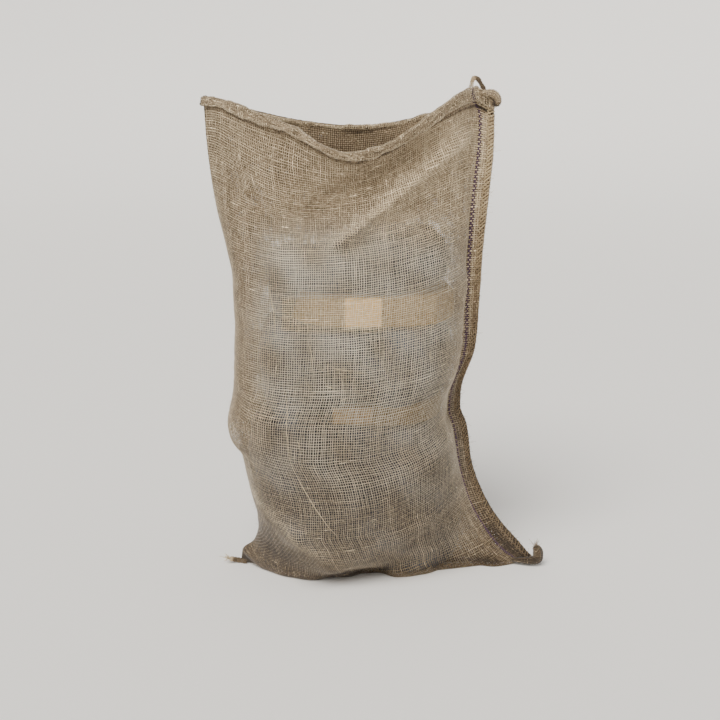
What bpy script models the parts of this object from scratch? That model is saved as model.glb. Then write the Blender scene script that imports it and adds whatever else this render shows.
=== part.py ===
"""A hessian sack, filled and standing on its own base, with its mouth open.

Units are metres and +Z is up. The sack's front faces -Y, and the origin is on the floor, on the bottom seam.
The cloth is one loft: a fold on the left, a flat sewn flange on the right, a bottom seam that runs along the
floor between two ears, and a rolled hem round the mouth. Its shape comes from the tables SECTIONS and FOLDS.
Inside stand three soft packs with a layer of kraft paper between each two.
"""
from collections import namedtuple

import bmesh
import bpy
import numpy as np
from mathutils import Matrix, Vector

MM = 0.001                  # the tables are in millimetres

# Driving dimensions
WALL = 0.0025               # thickness of the cloth, with its yarns' relief
FLANGE_HALF = 0.0016        # half the thickness of the two layers sewn together
HEM_SWELL = 0.0015          # how far the rolled hem stands proud of the cloth, on each side
PLY_GAP = 0.0004            # half the gap between the two layers inside an ear
PIECE_GAP = 0.0003          # clearance between neighbouring pieces
FLOOR_BLEND = 0.010         # height over which the cloth turns from the floor into the wall
TAIL_RADIUS = 0.0022        # the overlock chain that is left hanging at the corners

# Grid of the loft
COLUMNS = 25                # points across one panel, from the fold to the flange
FINE_COLUMNS = 300          # points across a panel while its columns are being spaced evenly
ROWS = (0.0, 0.012, 0.032, 0.055, 0.08, 0.105, 0.13, 0.16, 0.19, 0.222, 0.256, 0.29, 0.322, 0.354, 0.388,
        0.422, 0.458, 0.496, 0.535, 0.575, 0.615, 0.655, 0.695, 0.735, 0.775, 0.815, 0.85, 0.884, 0.918, 0.95)
HEM_ROWS = ((0.974, 0.0), (0.979, 0.9), (0.986, 1.0), (0.994, 0.9), (1.0, 0.3))     # place, share of swell

# One row for each section of the sack. 'up' is the fraction of the cloth's length above the bottom seam. The
# rest is in millimetres: the left fold, the line where the flange starts, the flange's outer edge, and how
# far the front and the back stand out at their fullest place, and how high that place is. The next four say
# how each panel turns at its left and its right end: 0.4 is round and square-shouldered, 1 is pointed. The
# last says how narrowly the row sags towards its fullest place.
Section = namedtuple("Section", "up fold_x fold_z seam_x seam_z edge_x edge_y edge_z front_y front_z back_y "
                                "back_z front_left front_right back_left back_right sag")
SECTIONS = (
    Section(0.000, -189, 0, 262, 0, 286, 0, 3, 0, -60, 0, -60, 0.90, 1.20, 0.90, 1.20, 1.3),
    Section(0.035, -188, 12, 248, 13, 268, 0, 19, 27, -60, 34, -60, 0.90, 1.15, 0.85, 1.15, 1.3),
    Section(0.070, -185, 22, 228, 28, 246, 0, 42, 48, -50, 62, -50, 0.80, 1.05, 0.75, 1.05, 1.3),
    Section(0.115, -175, 38, 204, 58, 222, 0, 69, 73, 5, 88, 4, 0.66, 0.92, 0.62, 0.85, 1.3),
    Section(0.170, -160, 72, 178, 100, 198, 2, 106, 99, 46, 104, 45, 0.48, 0.74, 0.50, 0.66, 1.3),
    Section(0.250, -163, 134, 156, 160, 176, 4, 163, 117, 107, 113, 105, 0.40, 0.54, 0.44, 0.48, 1.3),
    Section(0.345, -184, 207, 142, 230, 164, 7, 234, 124, 187, 118, 180, 0.36, 0.44, 0.40, 0.40, 1.3),
    Section(0.385, -203, 241, 133, 260, 154, 8, 263, 124, 221, 118, 212, 0.36, 0.42, 0.40, 0.40, 1.3),
    Section(0.430, -195, 274, 136, 294, 156, 8, 297, 123, 260, 117, 248, 0.36, 0.42, 0.40, 0.40, 1.3),
    Section(0.500, -189, 328, 150, 350, 173, 6, 351, 121, 322, 115, 305, 0.36, 0.42, 0.40, 0.40, 1.3),
    Section(0.600, -190, 408, 155, 430, 178, 2, 431, 116, 402, 109, 388, 0.38, 0.46, 0.40, 0.42, 1.3),
    Section(0.700, -193, 487, 157, 507, 181, 0, 508, 106, 474, 100, 467, 0.43, 0.52, 0.46, 0.50, 1.3),
    Section(0.800, -206, 566, 162, 585, 187, -1, 586, 87, 541, 82, 545, 0.66, 0.78, 0.64, 0.72, 1.3),
    Section(0.900, -212, 646, 168, 662, 192, 1, 663, 72, 596, 70, 620, 0.90, 1.00, 0.88, 0.95, 1.5),
    Section(1.000, -221, 725, 165, 738, 191, 0, 739, 86, 655, 72, 682, 1.15, 0.98, 1.05, 0.95, 1.9),
)

# Main folds of the front panel: a straight run from (x1, z1) to (x2, z2), the fold's width, and how far it
# stands out, or lies in where that is negative, all in millimetres.
Fold = namedtuple("Fold", "x1 z1 x2 z2 width out")
FOLDS = (
    Fold(150, 668, -30, 532, 18, 8),        # tension fold from the seam down to the top of the load
    Fold(60, 650, -60, 565, 26, -9),        # hollow above that fold
    Fold(40, 548, 120, 540, 16, 5),         # the load's top edge on the right
    Fold(-180, 605, -130, 550, 18, -6),     # dents at the upper left
    Fold(-150, 560, -110, 520, 16, 5),
    Fold(-205, 240, -120, 262, 18, 5),      # crease behind the point on the left outline
    Fold(-150, 125, -95, 92, 17, 9),        # lip of the overhang at the lower left
    Fold(-95, 92, -45, 30, 17, 8),
    Fold(-150, 66, -105, 22, 22, -10),      # hollow under that lip
    Fold(60, 20, 150, 14, 16, -7),          # tuck along the floor at the right
)

# The load from the floor up, in millimetres: how high its top is, its width and depth, where its middle is,
# how far its waist stands out, how far its foot is drawn in and over what height, and how its top is rounded.
Layer = namedtuple("Layer", "name top width depth x y waist foot_inset foot_rise shoulder finish")
LAYERS = (
    Layer("pack_low", 262, 268, 202, -16, 2, 6, 66, 112, 26, "film"),
    Layer("paper_low", 291, 266, 206, -16, 0, 1, 8, 8, 8, "kraft"),
    Layer("pack_mid", 408, 276, 198, -15, -1, 6, 26, 26, 26, "film"),
    Layer("paper_high", 453, 266, 190, -15, -2, 1, 8, 8, 8, "kraft"),
    Layer("pack_top", 538, 262, 168, -17, -4, 5, 26, 26, 26, "film"),
)
LOAD_TURN = 2               # degrees that the load is turned, its right side towards the back
LOAD_SQUARENESS = 2.6       # 2 is an ellipse from above, and a high number is a rectangle
LOAD_SIDES = 24
CARD_THICKNESS = 0.0008
Card = namedtuple("Card", "name layer x width height")
CARDS = (
    Card("card_low", "paper_low", -1, 70, 24),
    Card("card_high", "paper_high", 16, 62, 42),
)


def smooth_column(name, up):
    """Read one column of SECTIONS at the places 'up', as cubic pieces with no overshoot at a turn."""
    knots = np.array([section.up for section in SECTIONS])
    values = np.array([getattr(section, name) for section in SECTIONS], dtype=float)
    steps = np.diff(values) / np.diff(knots)
    slopes = np.concatenate([steps[:1], 0.5 * (steps[1:] + steps[:-1]), steps[-1:]])
    slopes[1:-1][steps[1:] * steps[:-1] < 0] = 0
    i = np.clip(np.searchsorted(knots, up, side="right") - 1, 0, len(knots) - 2)
    width = knots[i + 1] - knots[i]
    f = (up - knots[i]) / width
    return (values[i] * (1 + 2 * f) * (1 - f) ** 2 + values[i + 1] * f * f * (3 - 2 * f)
            + slopes[i] * width * f * (1 - f) ** 2 - slopes[i + 1] * width * f * f * (1 - f))


def bump(across, left, right):
    """A hump from 0 to 1 and back to 0: across**left * (1 - across)**right, divided by its own peak."""
    peak = left / (left + right)
    return (across / peak) ** left * ((1 - across) / (1 - peak)) ** right


def above_floor(height):
    """Keep heights (mm) at 0 or more: flat below -blend, a parabola up to +blend, unchanged above."""
    blend = FLOOR_BLEND / MM
    turned = (height + blend) ** 2 / (4 * blend)
    return np.where(height < -blend, 0, np.where(height > blend, height, turned))


def fold_relief(x, z):
    """Sum of the folds (mm): each falls off as a bell curve with the distance to its run."""
    relief = np.zeros_like(x)
    for fold in FOLDS:
        run_x, run_z = fold.x2 - fold.x1, fold.z2 - fold.z1
        along = ((x - fold.x1) * run_x + (z - fold.z1) * run_z) / (run_x ** 2 + run_z ** 2)
        along = np.clip(along, 0, 1)
        distance = np.hypot(x - fold.x1 - along * run_x, z - fold.z1 - along * run_z)
        relief += fold.out * np.exp(-(distance / fold.width) ** 2)
    return relief


def panel(up, across, side):
    """Points of one panel in metres, for arrays 'up' (seam to mouth) and 'across' (fold to flange).

    Each row runs straight from the fold to the flange, is pushed out by the hump times the section's depth,
    and hangs below that straight line by the hump times the section's droop, but not through the floor.
    """
    fold_x, fold_z = smooth_column("fold_x", up), smooth_column("fold_z", up)
    seam_x, seam_z = smooth_column("seam_x", up), smooth_column("seam_z", up)
    left, right = smooth_column(side + "_left", up), smooth_column(side + "_right", up)
    hump = bump(across, left, right)
    x = fold_x + (seam_x - fold_x) * across
    side_z = fold_z + (seam_z - fold_z) * across
    droop = fold_z + (seam_z - fold_z) * left / (left + right) - smooth_column(side + "_z", up)
    z = above_floor(side_z - droop * hump ** smooth_column("sag", up))
    out = smooth_column(side + "_y", up) * hump
    if side == "front":
        out = out + fold_relief(x, z) * np.clip(3 * hump, 0, 1) * np.clip(up / 0.05, 0, 1)
    out = np.maximum(out, 0) + FLANGE_HALF / MM * np.clip(up / 0.012, 0, 1) * np.clip(across / 0.02, 0, 1)
    y = -out if side == "front" else out
    return np.stack([x, y, z], axis=-1) * MM


def even_columns(up, side):
    """One row of a panel with its points spaced evenly along the cloth."""
    # the fold turns fast, so the fine points crowd towards it
    across = 0.5 - 0.5 * np.cos(np.linspace(0, np.pi, FINE_COLUMNS))
    row = panel(np.full(FINE_COLUMNS, up), across, side)
    length = np.concatenate([[0], np.cumsum(np.linalg.norm(np.diff(row, axis=0), axis=1))])
    wanted = np.linspace(0, length[-1], COLUMNS)
    return np.stack([np.interp(wanted, length, row[:, axis]) for axis in range(3)], axis=-1)


def outward_normals(grid, side):
    """Unit normals of a grid of points, pointing out of the sack."""
    normal = np.cross(np.gradient(grid, axis=1), np.gradient(grid, axis=0))
    normal /= np.maximum(np.linalg.norm(normal, axis=-1, keepdims=True), 1e-9)
    return normal if side == "front" else -normal


def sack_grids(side):
    """Outer and inner points of one panel, as arrays of rows, columns and coordinates."""
    rows = [(up, 0.0) for up in ROWS] + list(HEM_ROWS)
    skin = np.array([even_columns(up, side) for up, _ in rows])
    swell = np.array([share for _, share in rows])[:, None, None] * HEM_SWELL
    normal = outward_normals(skin, side)
    sign = -1 if side == "front" else 1
    outer = skin + normal * swell
    outer[:, 0] = skin[:, 0] + swell[:, 0] * Vector((-1, 0, 0))
    outer[:, -1] = skin[:, -1] + swell[:, 0] * Vector((0, sign, 0))
    # the flange: the panel's last point, and one on the outer edge
    up = np.array([place for place, _ in rows])
    edge = np.stack([smooth_column("edge_" + axis, up) for axis in "xyz"], axis=-1) * MM
    edge[:, 1] += sign * (FLANGE_HALF * np.clip(up / 0.012, 0, 1) + swell[:, 0, 0])
    outer = np.concatenate([outer, edge[:, None]], axis=1)

    inner = skin - normal * (WALL + swell)
    inner[:, :, 1] = sign * np.maximum(sign * inner[:, :, 1], PLY_GAP)
    inner[:, :, 0] = np.clip(inner[:, :, 0], skin[:, :1, 0] + 1.5 * WALL, skin[:, -1:, 0] - WALL)
    inner[:, :, 2] = np.maximum(inner[:, :, 2], WALL)
    inner[:, 0] = skin[:, 0] + np.array([1.5 * WALL, 0, 0])
    inner[:, 0, 2] = np.maximum(inner[:, 0, 2], WALL)
    inner[0, :, 1] = 0
    inner[0, :, 2] = np.maximum(skin[0, :, 2] + 0.6 * WALL, WALL)
    return outer, inner


def pouch(mesh, front, back):
    """Add one pouch to a bmesh: two grids that share their first row and first column.

    Returns its vertices as two arrays of rows and columns.
    """
    front_verts = [[mesh.verts.new(point) for point in row] for row in front]
    back_verts = []
    for row, (points, mates) in enumerate(zip(back, front_verts)):
        shared = [row == 0 or column == 0 for column in range(len(points))]
        back_verts.append([mate if same else mesh.verts.new(point)
                           for point, mate, same in zip(points, mates, shared)])
    for verts in (front_verts, back_verts):
        for low, high in zip(verts, verts[1:]):
            for column in range(len(low) - 1):
                mesh.faces.new((low[column], low[column + 1], high[column + 1], high[column]))
    for row in range(len(front_verts) - 1):
        corners = (front_verts[row][-1], back_verts[row][-1], back_verts[row + 1][-1], front_verts[row + 1][-1])
        mesh.faces.new(tuple(dict.fromkeys(corners)))
    return front_verts, back_verts


def make_sack(material):
    """The whole cloth as one solid: an outer pouch, an inner pouch, and the rim that joins them."""
    outer_front, inner_front = sack_grids("front")
    outer_back, inner_back = sack_grids("back")
    mesh = bmesh.new()
    front, back = pouch(mesh, outer_front, outer_back)
    inside_front, inside_back = pouch(mesh, inner_front, inner_back)
    for outside, inside in ((front[-1], inside_front[-1]), (back[-1], inside_back[-1])):
        for column in range(COLUMNS - 1):
            mesh.faces.new((outside[column], outside[column + 1], inside[column + 1], inside[column]))
    mesh.faces.new((front[-1][-2], front[-1][-1], back[-1][-1], back[-1][-2]))
    mesh.faces.new((front[-1][-2], back[-1][-2], inside_back[-1][-1], inside_front[-1][-1]))
    return finish_mesh("sack", mesh, material)


def finish_mesh(name, mesh, material):
    """Turn a bmesh into an object with outward faces and its material."""
    bmesh.ops.recalc_face_normals(mesh, faces=mesh.faces)
    data = bpy.data.meshes.new(name)
    mesh.to_mesh(data)
    mesh.free()
    data.shade_smooth()
    data.materials.append(material)
    thing = bpy.data.objects.new(name, data)
    bpy.data.collections["hessian_sack"].objects.link(thing)
    return thing


def make_material(name, colour, roughness):
    """A plain matt material."""
    material = bpy.data.materials.new(name)
    material.use_nodes = True
    shader = material.node_tree.nodes["Principled BSDF"]
    shader.inputs["Base Color"].default_value = (*colour, 1)
    shader.inputs["Roughness"].default_value = roughness
    shader.inputs["Metallic"].default_value = 0
    return material


def load_outline(layer, inset):
    """Outline of a layer from above, in metres: a superellipse, drawn in by 'inset'."""
    turn = np.radians(LOAD_TURN)
    angle = np.linspace(0, 2 * np.pi, LOAD_SIDES, endpoint=False) + np.pi / LOAD_SIDES
    power = 2 / LOAD_SQUARENESS
    x = (layer.width / 2 * MM - inset) * np.sign(np.cos(angle)) * np.abs(np.cos(angle)) ** power
    y = (layer.depth / 2 * MM - inset) * np.sign(np.sin(angle)) * np.abs(np.sin(angle)) ** power
    return np.stack([layer.x * MM + x * np.cos(turn) - y * np.sin(turn),
                     layer.y * MM + x * np.sin(turn) + y * np.cos(turn)], axis=-1)


def make_layer(layer, bottom, material):
    """A soft block: an outline drawn up ring by ring, with round edges, a fuller waist and flat ends."""
    height = layer.top * MM - bottom
    arc = [(1 - np.cos(angle), 1 - np.sin(angle)) for angle in np.linspace(0, np.pi / 2, 4)]
    foot = [(layer.foot_rise * MM * rise, layer.foot_inset * MM * inset) for rise, inset in arc]
    shoulder = [(height - layer.shoulder * MM * rise, layer.shoulder * MM * inset) for rise, inset in arc]
    waist = [((foot[-1][0] + shoulder[-1][0]) / 2, -layer.waist * MM)]
    mesh = bmesh.new()
    ring = bmesh.ops.create_circle(mesh, cap_ends=True, radius=1.0, segments=LOAD_SIDES)["verts"]
    cap = mesh.faces[:]
    for number, (rise, inset) in enumerate(foot + waist + shoulder[::-1]):
        if number:
            grown = bmesh.ops.extrude_face_region(mesh, geom=cap)["geom"]
            bmesh.ops.delete(mesh, geom=cap if number > 1 else [], context="FACES_ONLY")
            cap = [part for part in grown if isinstance(part, bmesh.types.BMFace)]
            ring = cap[0].verts[:]
        for vert, (x, y) in zip(ring, load_outline(layer, inset)):
            vert.co = (x, y, bottom + rise)
    return finish_mesh(layer.name, mesh, material)


def make_card(card, layer, bottom, material):
    """A blank card on the front of a paper layer."""
    height = layer.top * MM - bottom
    front = -(layer.depth / 2 + layer.waist) * MM - PIECE_GAP - CARD_THICKNESS / 2
    mesh = bmesh.new()
    bmesh.ops.create_cube(mesh, size=1.0)
    for vert in mesh.verts:
        vert.co = Vector((vert.co.x * card.width * MM + card.x * MM, vert.co.y * CARD_THICKNESS + front,
                          vert.co.z * card.height * MM))
    place = Matrix.Translation((layer.x * MM, layer.y * MM, bottom + height / 2))
    bmesh.ops.transform(mesh, matrix=place @ Matrix.Rotation(np.radians(LOAD_TURN), 4, "Z"), verts=mesh.verts)
    return finish_mesh(card.name, mesh, material)


def make_tail(name, points, material):
    """A short end of overlock chain, as a round twine along a few points."""
    curve = bpy.data.curves.new(name, "CURVE")
    curve.dimensions = "3D"
    curve.bevel_depth = TAIL_RADIUS
    curve.bevel_resolution = 2
    curve.use_fill_caps = True
    spline = curve.splines.new("POLY")
    spline.points.add(len(points) - 1)
    for spot, point in zip(spline.points, points):
        spot.co = (*point, 1)
    curve.materials.append(material)
    tail = bpy.data.objects.new(name, curve)
    bpy.data.collections["hessian_sack"].objects.link(tail)
    return tail


def make_tails(material):
    """The chain ends at the mouth's right corner and at the two ears."""
    mouth, base = SECTIONS[-1], SECTIONS[0]
    root = Vector((mouth.seam_x + 10, 0, mouth.edge_z)) * MM + Vector((0, 0, PIECE_GAP))
    loop = ((0, 0, 0), (-1, 0, 6), (-5, -1, 13), (-10, -1, 16), (-15, -2, 14), (-18, -2, 8), (-19, -2, 4))
    make_tail("tail_mouth", [root + Vector(step) * MM for step in loop], material)
    left = Vector((base.fold_x * MM - PIECE_GAP - 0.0002, 0, TAIL_RADIUS + PIECE_GAP))
    run = ((0, 0, 0), (-5, 1, 0), (-11, 1, 1), (-17, -1, 3), (-22, -2, 3))
    make_tail("tail_left", [left + Vector(step) * MM for step in run], material)
    right = Vector((base.edge_x * MM + 0.0007, 0, 0.0035))
    curl = ((0, 0, 0), (4, 0, 2), (7, 0, 7), (7, 0, 13), (4, 0, 18))
    make_tail("tail_right", [right + Vector(step) * MM for step in curl], material)


def main():
    for thing in list(bpy.data.objects):
        bpy.data.objects.remove(thing, do_unlink=True)
    bpy.context.scene.collection.children.link(bpy.data.collections.new("hessian_sack"))
    hessian = make_material("hessian", (0.36, 0.27, 0.18), 0.9)
    twine = make_material("twine", (0.46, 0.36, 0.25), 0.9)
    finishes = {"film": make_material("dark film", (0.05, 0.06, 0.08), 0.5),
                "kraft": make_material("kraft paper", (0.55, 0.45, 0.32), 0.85),
                "card": make_material("blank card", (0.62, 0.42, 0.24), 0.85)}
    make_sack(hessian)
    make_tails(twine)
    bottom = WALL + PIECE_GAP
    for layer in LAYERS:
        make_layer(layer, bottom, finishes[layer.finish])
        for card in CARDS:
            if card.layer == layer.name:
                make_card(card, layer, bottom, finishes["card"])
        bottom = layer.top * MM + PIECE_GAP


main()
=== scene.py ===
# %% [markdown]
# # A hessian sack, dressed
#
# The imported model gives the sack's solid shape. This notebook weaves real yarns over that shape, sews the
# edge, rolls the hem, and wraps the load that shows through the open cloth. Lengths in the tables are in
# millimetres, and the meshes are in metres, with +Z up and the front facing -Y.

# %% Setup
from collections import namedtuple

import bmesh
import bpy
import numpy as np
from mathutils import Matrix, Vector


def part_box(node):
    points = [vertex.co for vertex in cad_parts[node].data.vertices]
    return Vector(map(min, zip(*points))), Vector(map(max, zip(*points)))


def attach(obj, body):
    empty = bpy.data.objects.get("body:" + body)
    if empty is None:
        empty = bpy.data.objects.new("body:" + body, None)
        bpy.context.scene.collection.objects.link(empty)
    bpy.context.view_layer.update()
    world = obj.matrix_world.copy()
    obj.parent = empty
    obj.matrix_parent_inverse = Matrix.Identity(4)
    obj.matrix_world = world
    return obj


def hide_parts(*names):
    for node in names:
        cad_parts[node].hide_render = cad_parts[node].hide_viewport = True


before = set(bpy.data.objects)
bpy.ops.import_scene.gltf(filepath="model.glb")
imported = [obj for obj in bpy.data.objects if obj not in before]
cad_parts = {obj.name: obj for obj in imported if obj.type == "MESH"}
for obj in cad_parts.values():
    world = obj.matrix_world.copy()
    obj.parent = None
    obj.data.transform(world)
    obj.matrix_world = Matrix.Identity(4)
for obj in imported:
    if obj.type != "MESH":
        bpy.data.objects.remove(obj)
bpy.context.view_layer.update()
MM = 0.001
dice = np.random.default_rng(7)     # every random number comes from here, so each run is the same
print("CAD nodes:", sorted(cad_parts))

# %% [markdown]
# ## Helpers for colours and nodes
#
# Colours are written as the hex values that a paint chart or a web page would show. Blender's shaders work
# with linear light, so one function turns the hex value into linear numbers. One more function adds a
# shader node with its settings and links, which keeps each material short.


# %% Colours and nodes
def linear(hex_colour):
    """Linear red, green, blue and alpha: ((c + 0.055) / 1.055) ** 2.4 above 0.04045, and c / 12.92 below."""
    channels = np.array([int(hex_colour[i:i + 2], 16) for i in (1, 3, 5)]) / 255
    light = np.where(channels > 0.04045, ((channels + 0.055) / 1.055) ** 2.4, channels / 12.92)
    return (*light.tolist(), 1.0)


def wire(material, node, **links):
    """Join a node's sockets, written with _ for a space, to other nodes' outputs."""
    for name, output in links.items():
        material.node_tree.links.new(output, node.inputs[name.replace("_", " ")])
    return node


def add(material, kind, settings=None, **links):
    """Add one node and wire it. 'settings' are its properties, its socket values or a ramp's stops."""
    node = material.node_tree.nodes.new("ShaderNode" + kind)
    for name, value in (settings or {}).items():
        if name == "stops":
            elements = node.color_ramp.elements
            for _ in value[2:]:
                elements.new(0.5)
            for element, (place, colour) in zip(elements, value):
                element.position = place
                element.color = linear(colour)
        elif hasattr(node, name):
            setattr(node, name, value)
        else:
            node.inputs[name].default_value = value
    return wire(material, node, **links)


def new_material(name, roughness, settings=None):
    """A material with one Principled shader, whose fixed numbers are set straight on its sockets."""
    material = bpy.data.materials.new(name)
    material.use_nodes = True
    shader = material.node_tree.nodes["Principled BSDF"]
    shader.inputs["Roughness"].default_value = roughness
    for socket, value in (settings or {}).items():
        shader.inputs[socket].default_value = value
    return material, shader


print("straw #D8C6A2 in linear light:", [round(value, 3) for value in linear("#D8C6A2")])

# %% [markdown]
# ## The camera
#
# The camera stands low in front of the sack, at the height of someone crouching, and looks slightly down.
# It is set first, so that every later piece can be judged in the same view.

# %% Camera
AIM = (0.0, 0.0, 0.337)
DISTANCE = 1.60
ELEVATION = np.radians(15)
eye = bpy.data.cameras.new("camera")
eye.lens = 52.6
camera = bpy.data.objects.new("camera", eye)
camera.location = (AIM[0], AIM[1] - DISTANCE * np.cos(ELEVATION), AIM[2] + DISTANCE * np.sin(ELEVATION))
camera.rotation_euler = (np.pi / 2 - ELEVATION, 0, 0)
bpy.context.scene.collection.objects.link(camera)
bpy.context.scene.camera = camera
print("camera stands at", [round(value, 3) for value in camera.location])

# %% [markdown]
# ## Jute yarn
#
# Hessian is woven from jute, a plant fibre that is spun into a coarse, hairy yarn and is left undyed. It is
# straw to brown, quite matt, and every yarn differs a little from the next. The tone comes from an
# attribute that the weaving below writes on each yarn, so the colour follows the yarn and not the space it
# lies in. Two yarns near the selvedge are dyed to mark the cloth, and a second attribute says where the dye
# is. A third says where the load has rubbed the cloth, which leaves it paler and greyer.


# %% Jute
RUBBED = "#D6CFBF"      # the greyish straw that jute takes where a full load rubs and stretches it
DYE = "#463246"         # the violet-black of the marking yarns


def make_jute(name, stops):
    """Undyed jute: tone from the yarn, fibre streaks along it, a soft sheen from its hairs."""
    material, shader = new_material(name, 0.86, {"Sheen Weight": 0.25, "Sheen Roughness": 0.6,
                                                 "Specular IOR Level": 0.25})
    yarn_map = add(material, "UVMap", {"uv_map": "yarn"})
    # the yarn map is in millimetres, and fibres are drawn 0.25 mm wide and some 4 mm long
    stretch = add(material, "Mapping", {"Scale": (0.25, 4.0, 1.0)}, Vector=yarn_map.outputs["UV"])
    fibres = add(material, "TexNoise", {"Scale": 1.0, "Detail": 3.0, "Roughness": 0.65},
                 Vector=stretch.outputs["Vector"])
    streaks = add(material, "MapRange", {"From Min": 0.3, "From Max": 0.7, "To Min": -0.16, "To Max": 0.16},
                  Value=fibres.outputs["Fac"])
    tone, rubbed, dyed = (add(material, "Attribute", {"attribute_name": label}).outputs["Fac"]
                          for label in ("tone", "rubbed", "dye"))
    mixed = add(material, "Math", {"operation": "ADD"})
    for socket, output in zip(mixed.inputs, (tone, streaks.outputs["Result"])):
        material.node_tree.links.new(output, socket)
    colour = add(material, "ValToRGB", {"stops": stops}, Fac=mixed.outputs["Value"])
    for share, tint in ((rubbed, RUBBED), (dyed, DYE)):
        colour = add(material, "MixRGB", {"Color2": linear(tint)}, Fac=share, Color1=colour.outputs["Color"])
    bump = add(material, "Bump", {"Strength": 0.35, "Distance": 0.0004}, Height=fibres.outputs["Fac"])
    wire(material, shader, Base_Color=colour.outputs["Color"], Normal=bump.outputs["Normal"])
    return material


HESSIAN_SHADES = ((0.0, "#2B2218"), (0.25, "#66553F"), (0.5, "#A59073"), (0.75, "#CFBE9D"), (1.0, "#FFEAC4"))
hessian = make_jute("hessian, undyed jute in plain weave", HESSIAN_SHADES)
print("made", hessian.name)

# %% [markdown]
# ## The sack's shape
#
# These tables say how the cloth stands: one row for each section, from the bottom seam to the mouth, and
# one row for each main fold of the front. They are the solid's own, so the yarns lie on it, but for a few
# millimetres at the outline, a front that is drawn in at the floor, and a mouth whose back hangs lower at
# both ends. A tailor would get this shape by filling the sack; here every section is a smooth hump between
# the fold on the left and the sewn flange on the right.

# %% Sections and folds
# up: share of the cloth's length. fold, seam and edge: the fold on the left, and the flange's inner and outer
# lines. front and back: the depth and height of the panel's hump, and the powers that shape its two sides.
# sag: the power that shapes its drop.
Section = namedtuple("Section", "up fold_x fold_z seam_x seam_z edge_x edge_y edge_z front_y front_z back_y "
                                "back_z front_left front_right back_left back_right sag")
SECTIONS = (
    Section(0.000, -189, 0, 262, 0, 286, 0, 3, 0, -60, 0, -60, 0.90, 0.80, 0.90, 1.20, 1.3),
    Section(0.035, -188, 14, 248, 13, 268, 0, 19, 25, -60, 34, -60, 0.80, 0.62, 0.85, 1.15, 1.3),
    Section(0.070, -185, 27, 228, 28, 249, 0, 42, 44, -50, 62, -50, 0.62, 0.70, 0.75, 1.05, 1.3),
    Section(0.115, -168, 41, 203, 58, 225, 0, 69, 62, 5, 88, 4, 0.52, 0.92, 0.62, 0.85, 1.3),
    Section(0.170, -160, 72, 177, 100, 200, 2, 106, 95, 46, 104, 45, 0.46, 0.74, 0.50, 0.66, 1.3),
    Section(0.250, -165, 134, 156, 160, 176, 4, 163, 116, 107, 113, 105, 0.40, 0.54, 0.44, 0.48, 1.3),
    Section(0.345, -184, 210, 142, 230, 164, 7, 234, 124, 187, 118, 180, 0.36, 0.44, 0.40, 0.40, 1.3),
    Section(0.385, -200, 252, 133, 260, 154, 8, 263, 124, 221, 118, 212, 0.36, 0.42, 0.40, 0.40, 1.3),
    Section(0.430, -195, 282, 136, 294, 156, 8, 297, 123, 260, 117, 248, 0.36, 0.42, 0.40, 0.40, 1.3),
    Section(0.500, -188, 328, 150, 350, 173, 6, 351, 121, 322, 115, 305, 0.36, 0.42, 0.40, 0.40, 1.3),
    Section(0.600, -187, 408, 155, 430, 178, 2, 431, 116, 402, 109, 388, 0.38, 0.46, 0.40, 0.42, 1.3),
    Section(0.700, -191, 487, 157, 507, 181, 0, 508, 106, 474, 100, 467, 0.43, 0.52, 0.46, 0.50, 1.3),
    Section(0.800, -209, 566, 162, 585, 187, -1, 586, 87, 541, 82, 545, 0.66, 0.78, 0.64, 0.72, 1.3),
    Section(0.900, -219, 646, 168, 662, 192, 1, 658, 72, 596, 70, 612, 0.90, 1.00, 0.80, 0.75, 1.5),
    Section(1.000, -223, 725, 165, 738, 191, 0, 723, 86, 652, 72, 682, 1.15, 0.98, 0.55, 0.40, 1.9),
)
Fold = namedtuple("Fold", "x1 z1 x2 z2 width out")      # from one place to another, and 'out' of the cloth
FOLDS = (
    Fold(150, 668, -30, 532, 14, 11.5),     # tension fold from the seam down to the top of the load
    Fold(60, 650, -60, 565, 26, -11),       # hollow above that fold
    Fold(40, 548, 120, 540, 16, 5),         # the load's top edge on the right
    Fold(-180, 605, -130, 550, 18, -6),     # dents at the upper left
    Fold(-150, 560, -110, 520, 16, 5),
    Fold(-205, 258, -120, 275, 18, 5),      # crease behind the point on the left outline
    Fold(-150, 125, -95, 92, 17, 9),        # lip of the overhang at the lower left
    Fold(-95, 92, -45, 30, 17, 8),
    Fold(-150, 66, -105, 22, 22, -7),       # hollow under that lip
    Fold(126, 6, 190, 4, 15, -12),          # tuck along the floor at the right
    Fold(4, 5, 32, 5, 14, -12),             # a short one in front, and a wide hollow beside it
    Fold(-46, 6, 22, 6, 24, -8),
    Fold(56, 6, 76, 6, 13, 4),
    Fold(-112, 8, -70, 6, 22, 8),           # and the corner of the load beside it on the left
)
LIFT, LIFT_X, LIFT_WIDTH = 14.0, -92, 46    # the mouth's front stays up on the left, before its pouch
FLOOR_BLEND = 10.0      # height over which the cloth turns from the floor into the wall
PARTED = 0.012          # share of the length above the bottom seam over which front and back part
print(len(SECTIONS), "sections and", len(FOLDS), "folds")


# %% Reading the tables
def ease(value, start, end):
    """Smooth step, 0 at 'start' and 1 at 'end', which may lie below it: t * t * (3 - 2 * t), t in 0 to 1."""
    t = np.clip((value - start) / (end - start), 0, 1)
    return t * t * (3 - 2 * t)


def bell(value, middle, width):
    """1 in the middle, and fading to both sides: exp(-((value - middle) / width) ** 2)."""
    return np.exp(-((value - middle) / width) ** 2)


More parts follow.
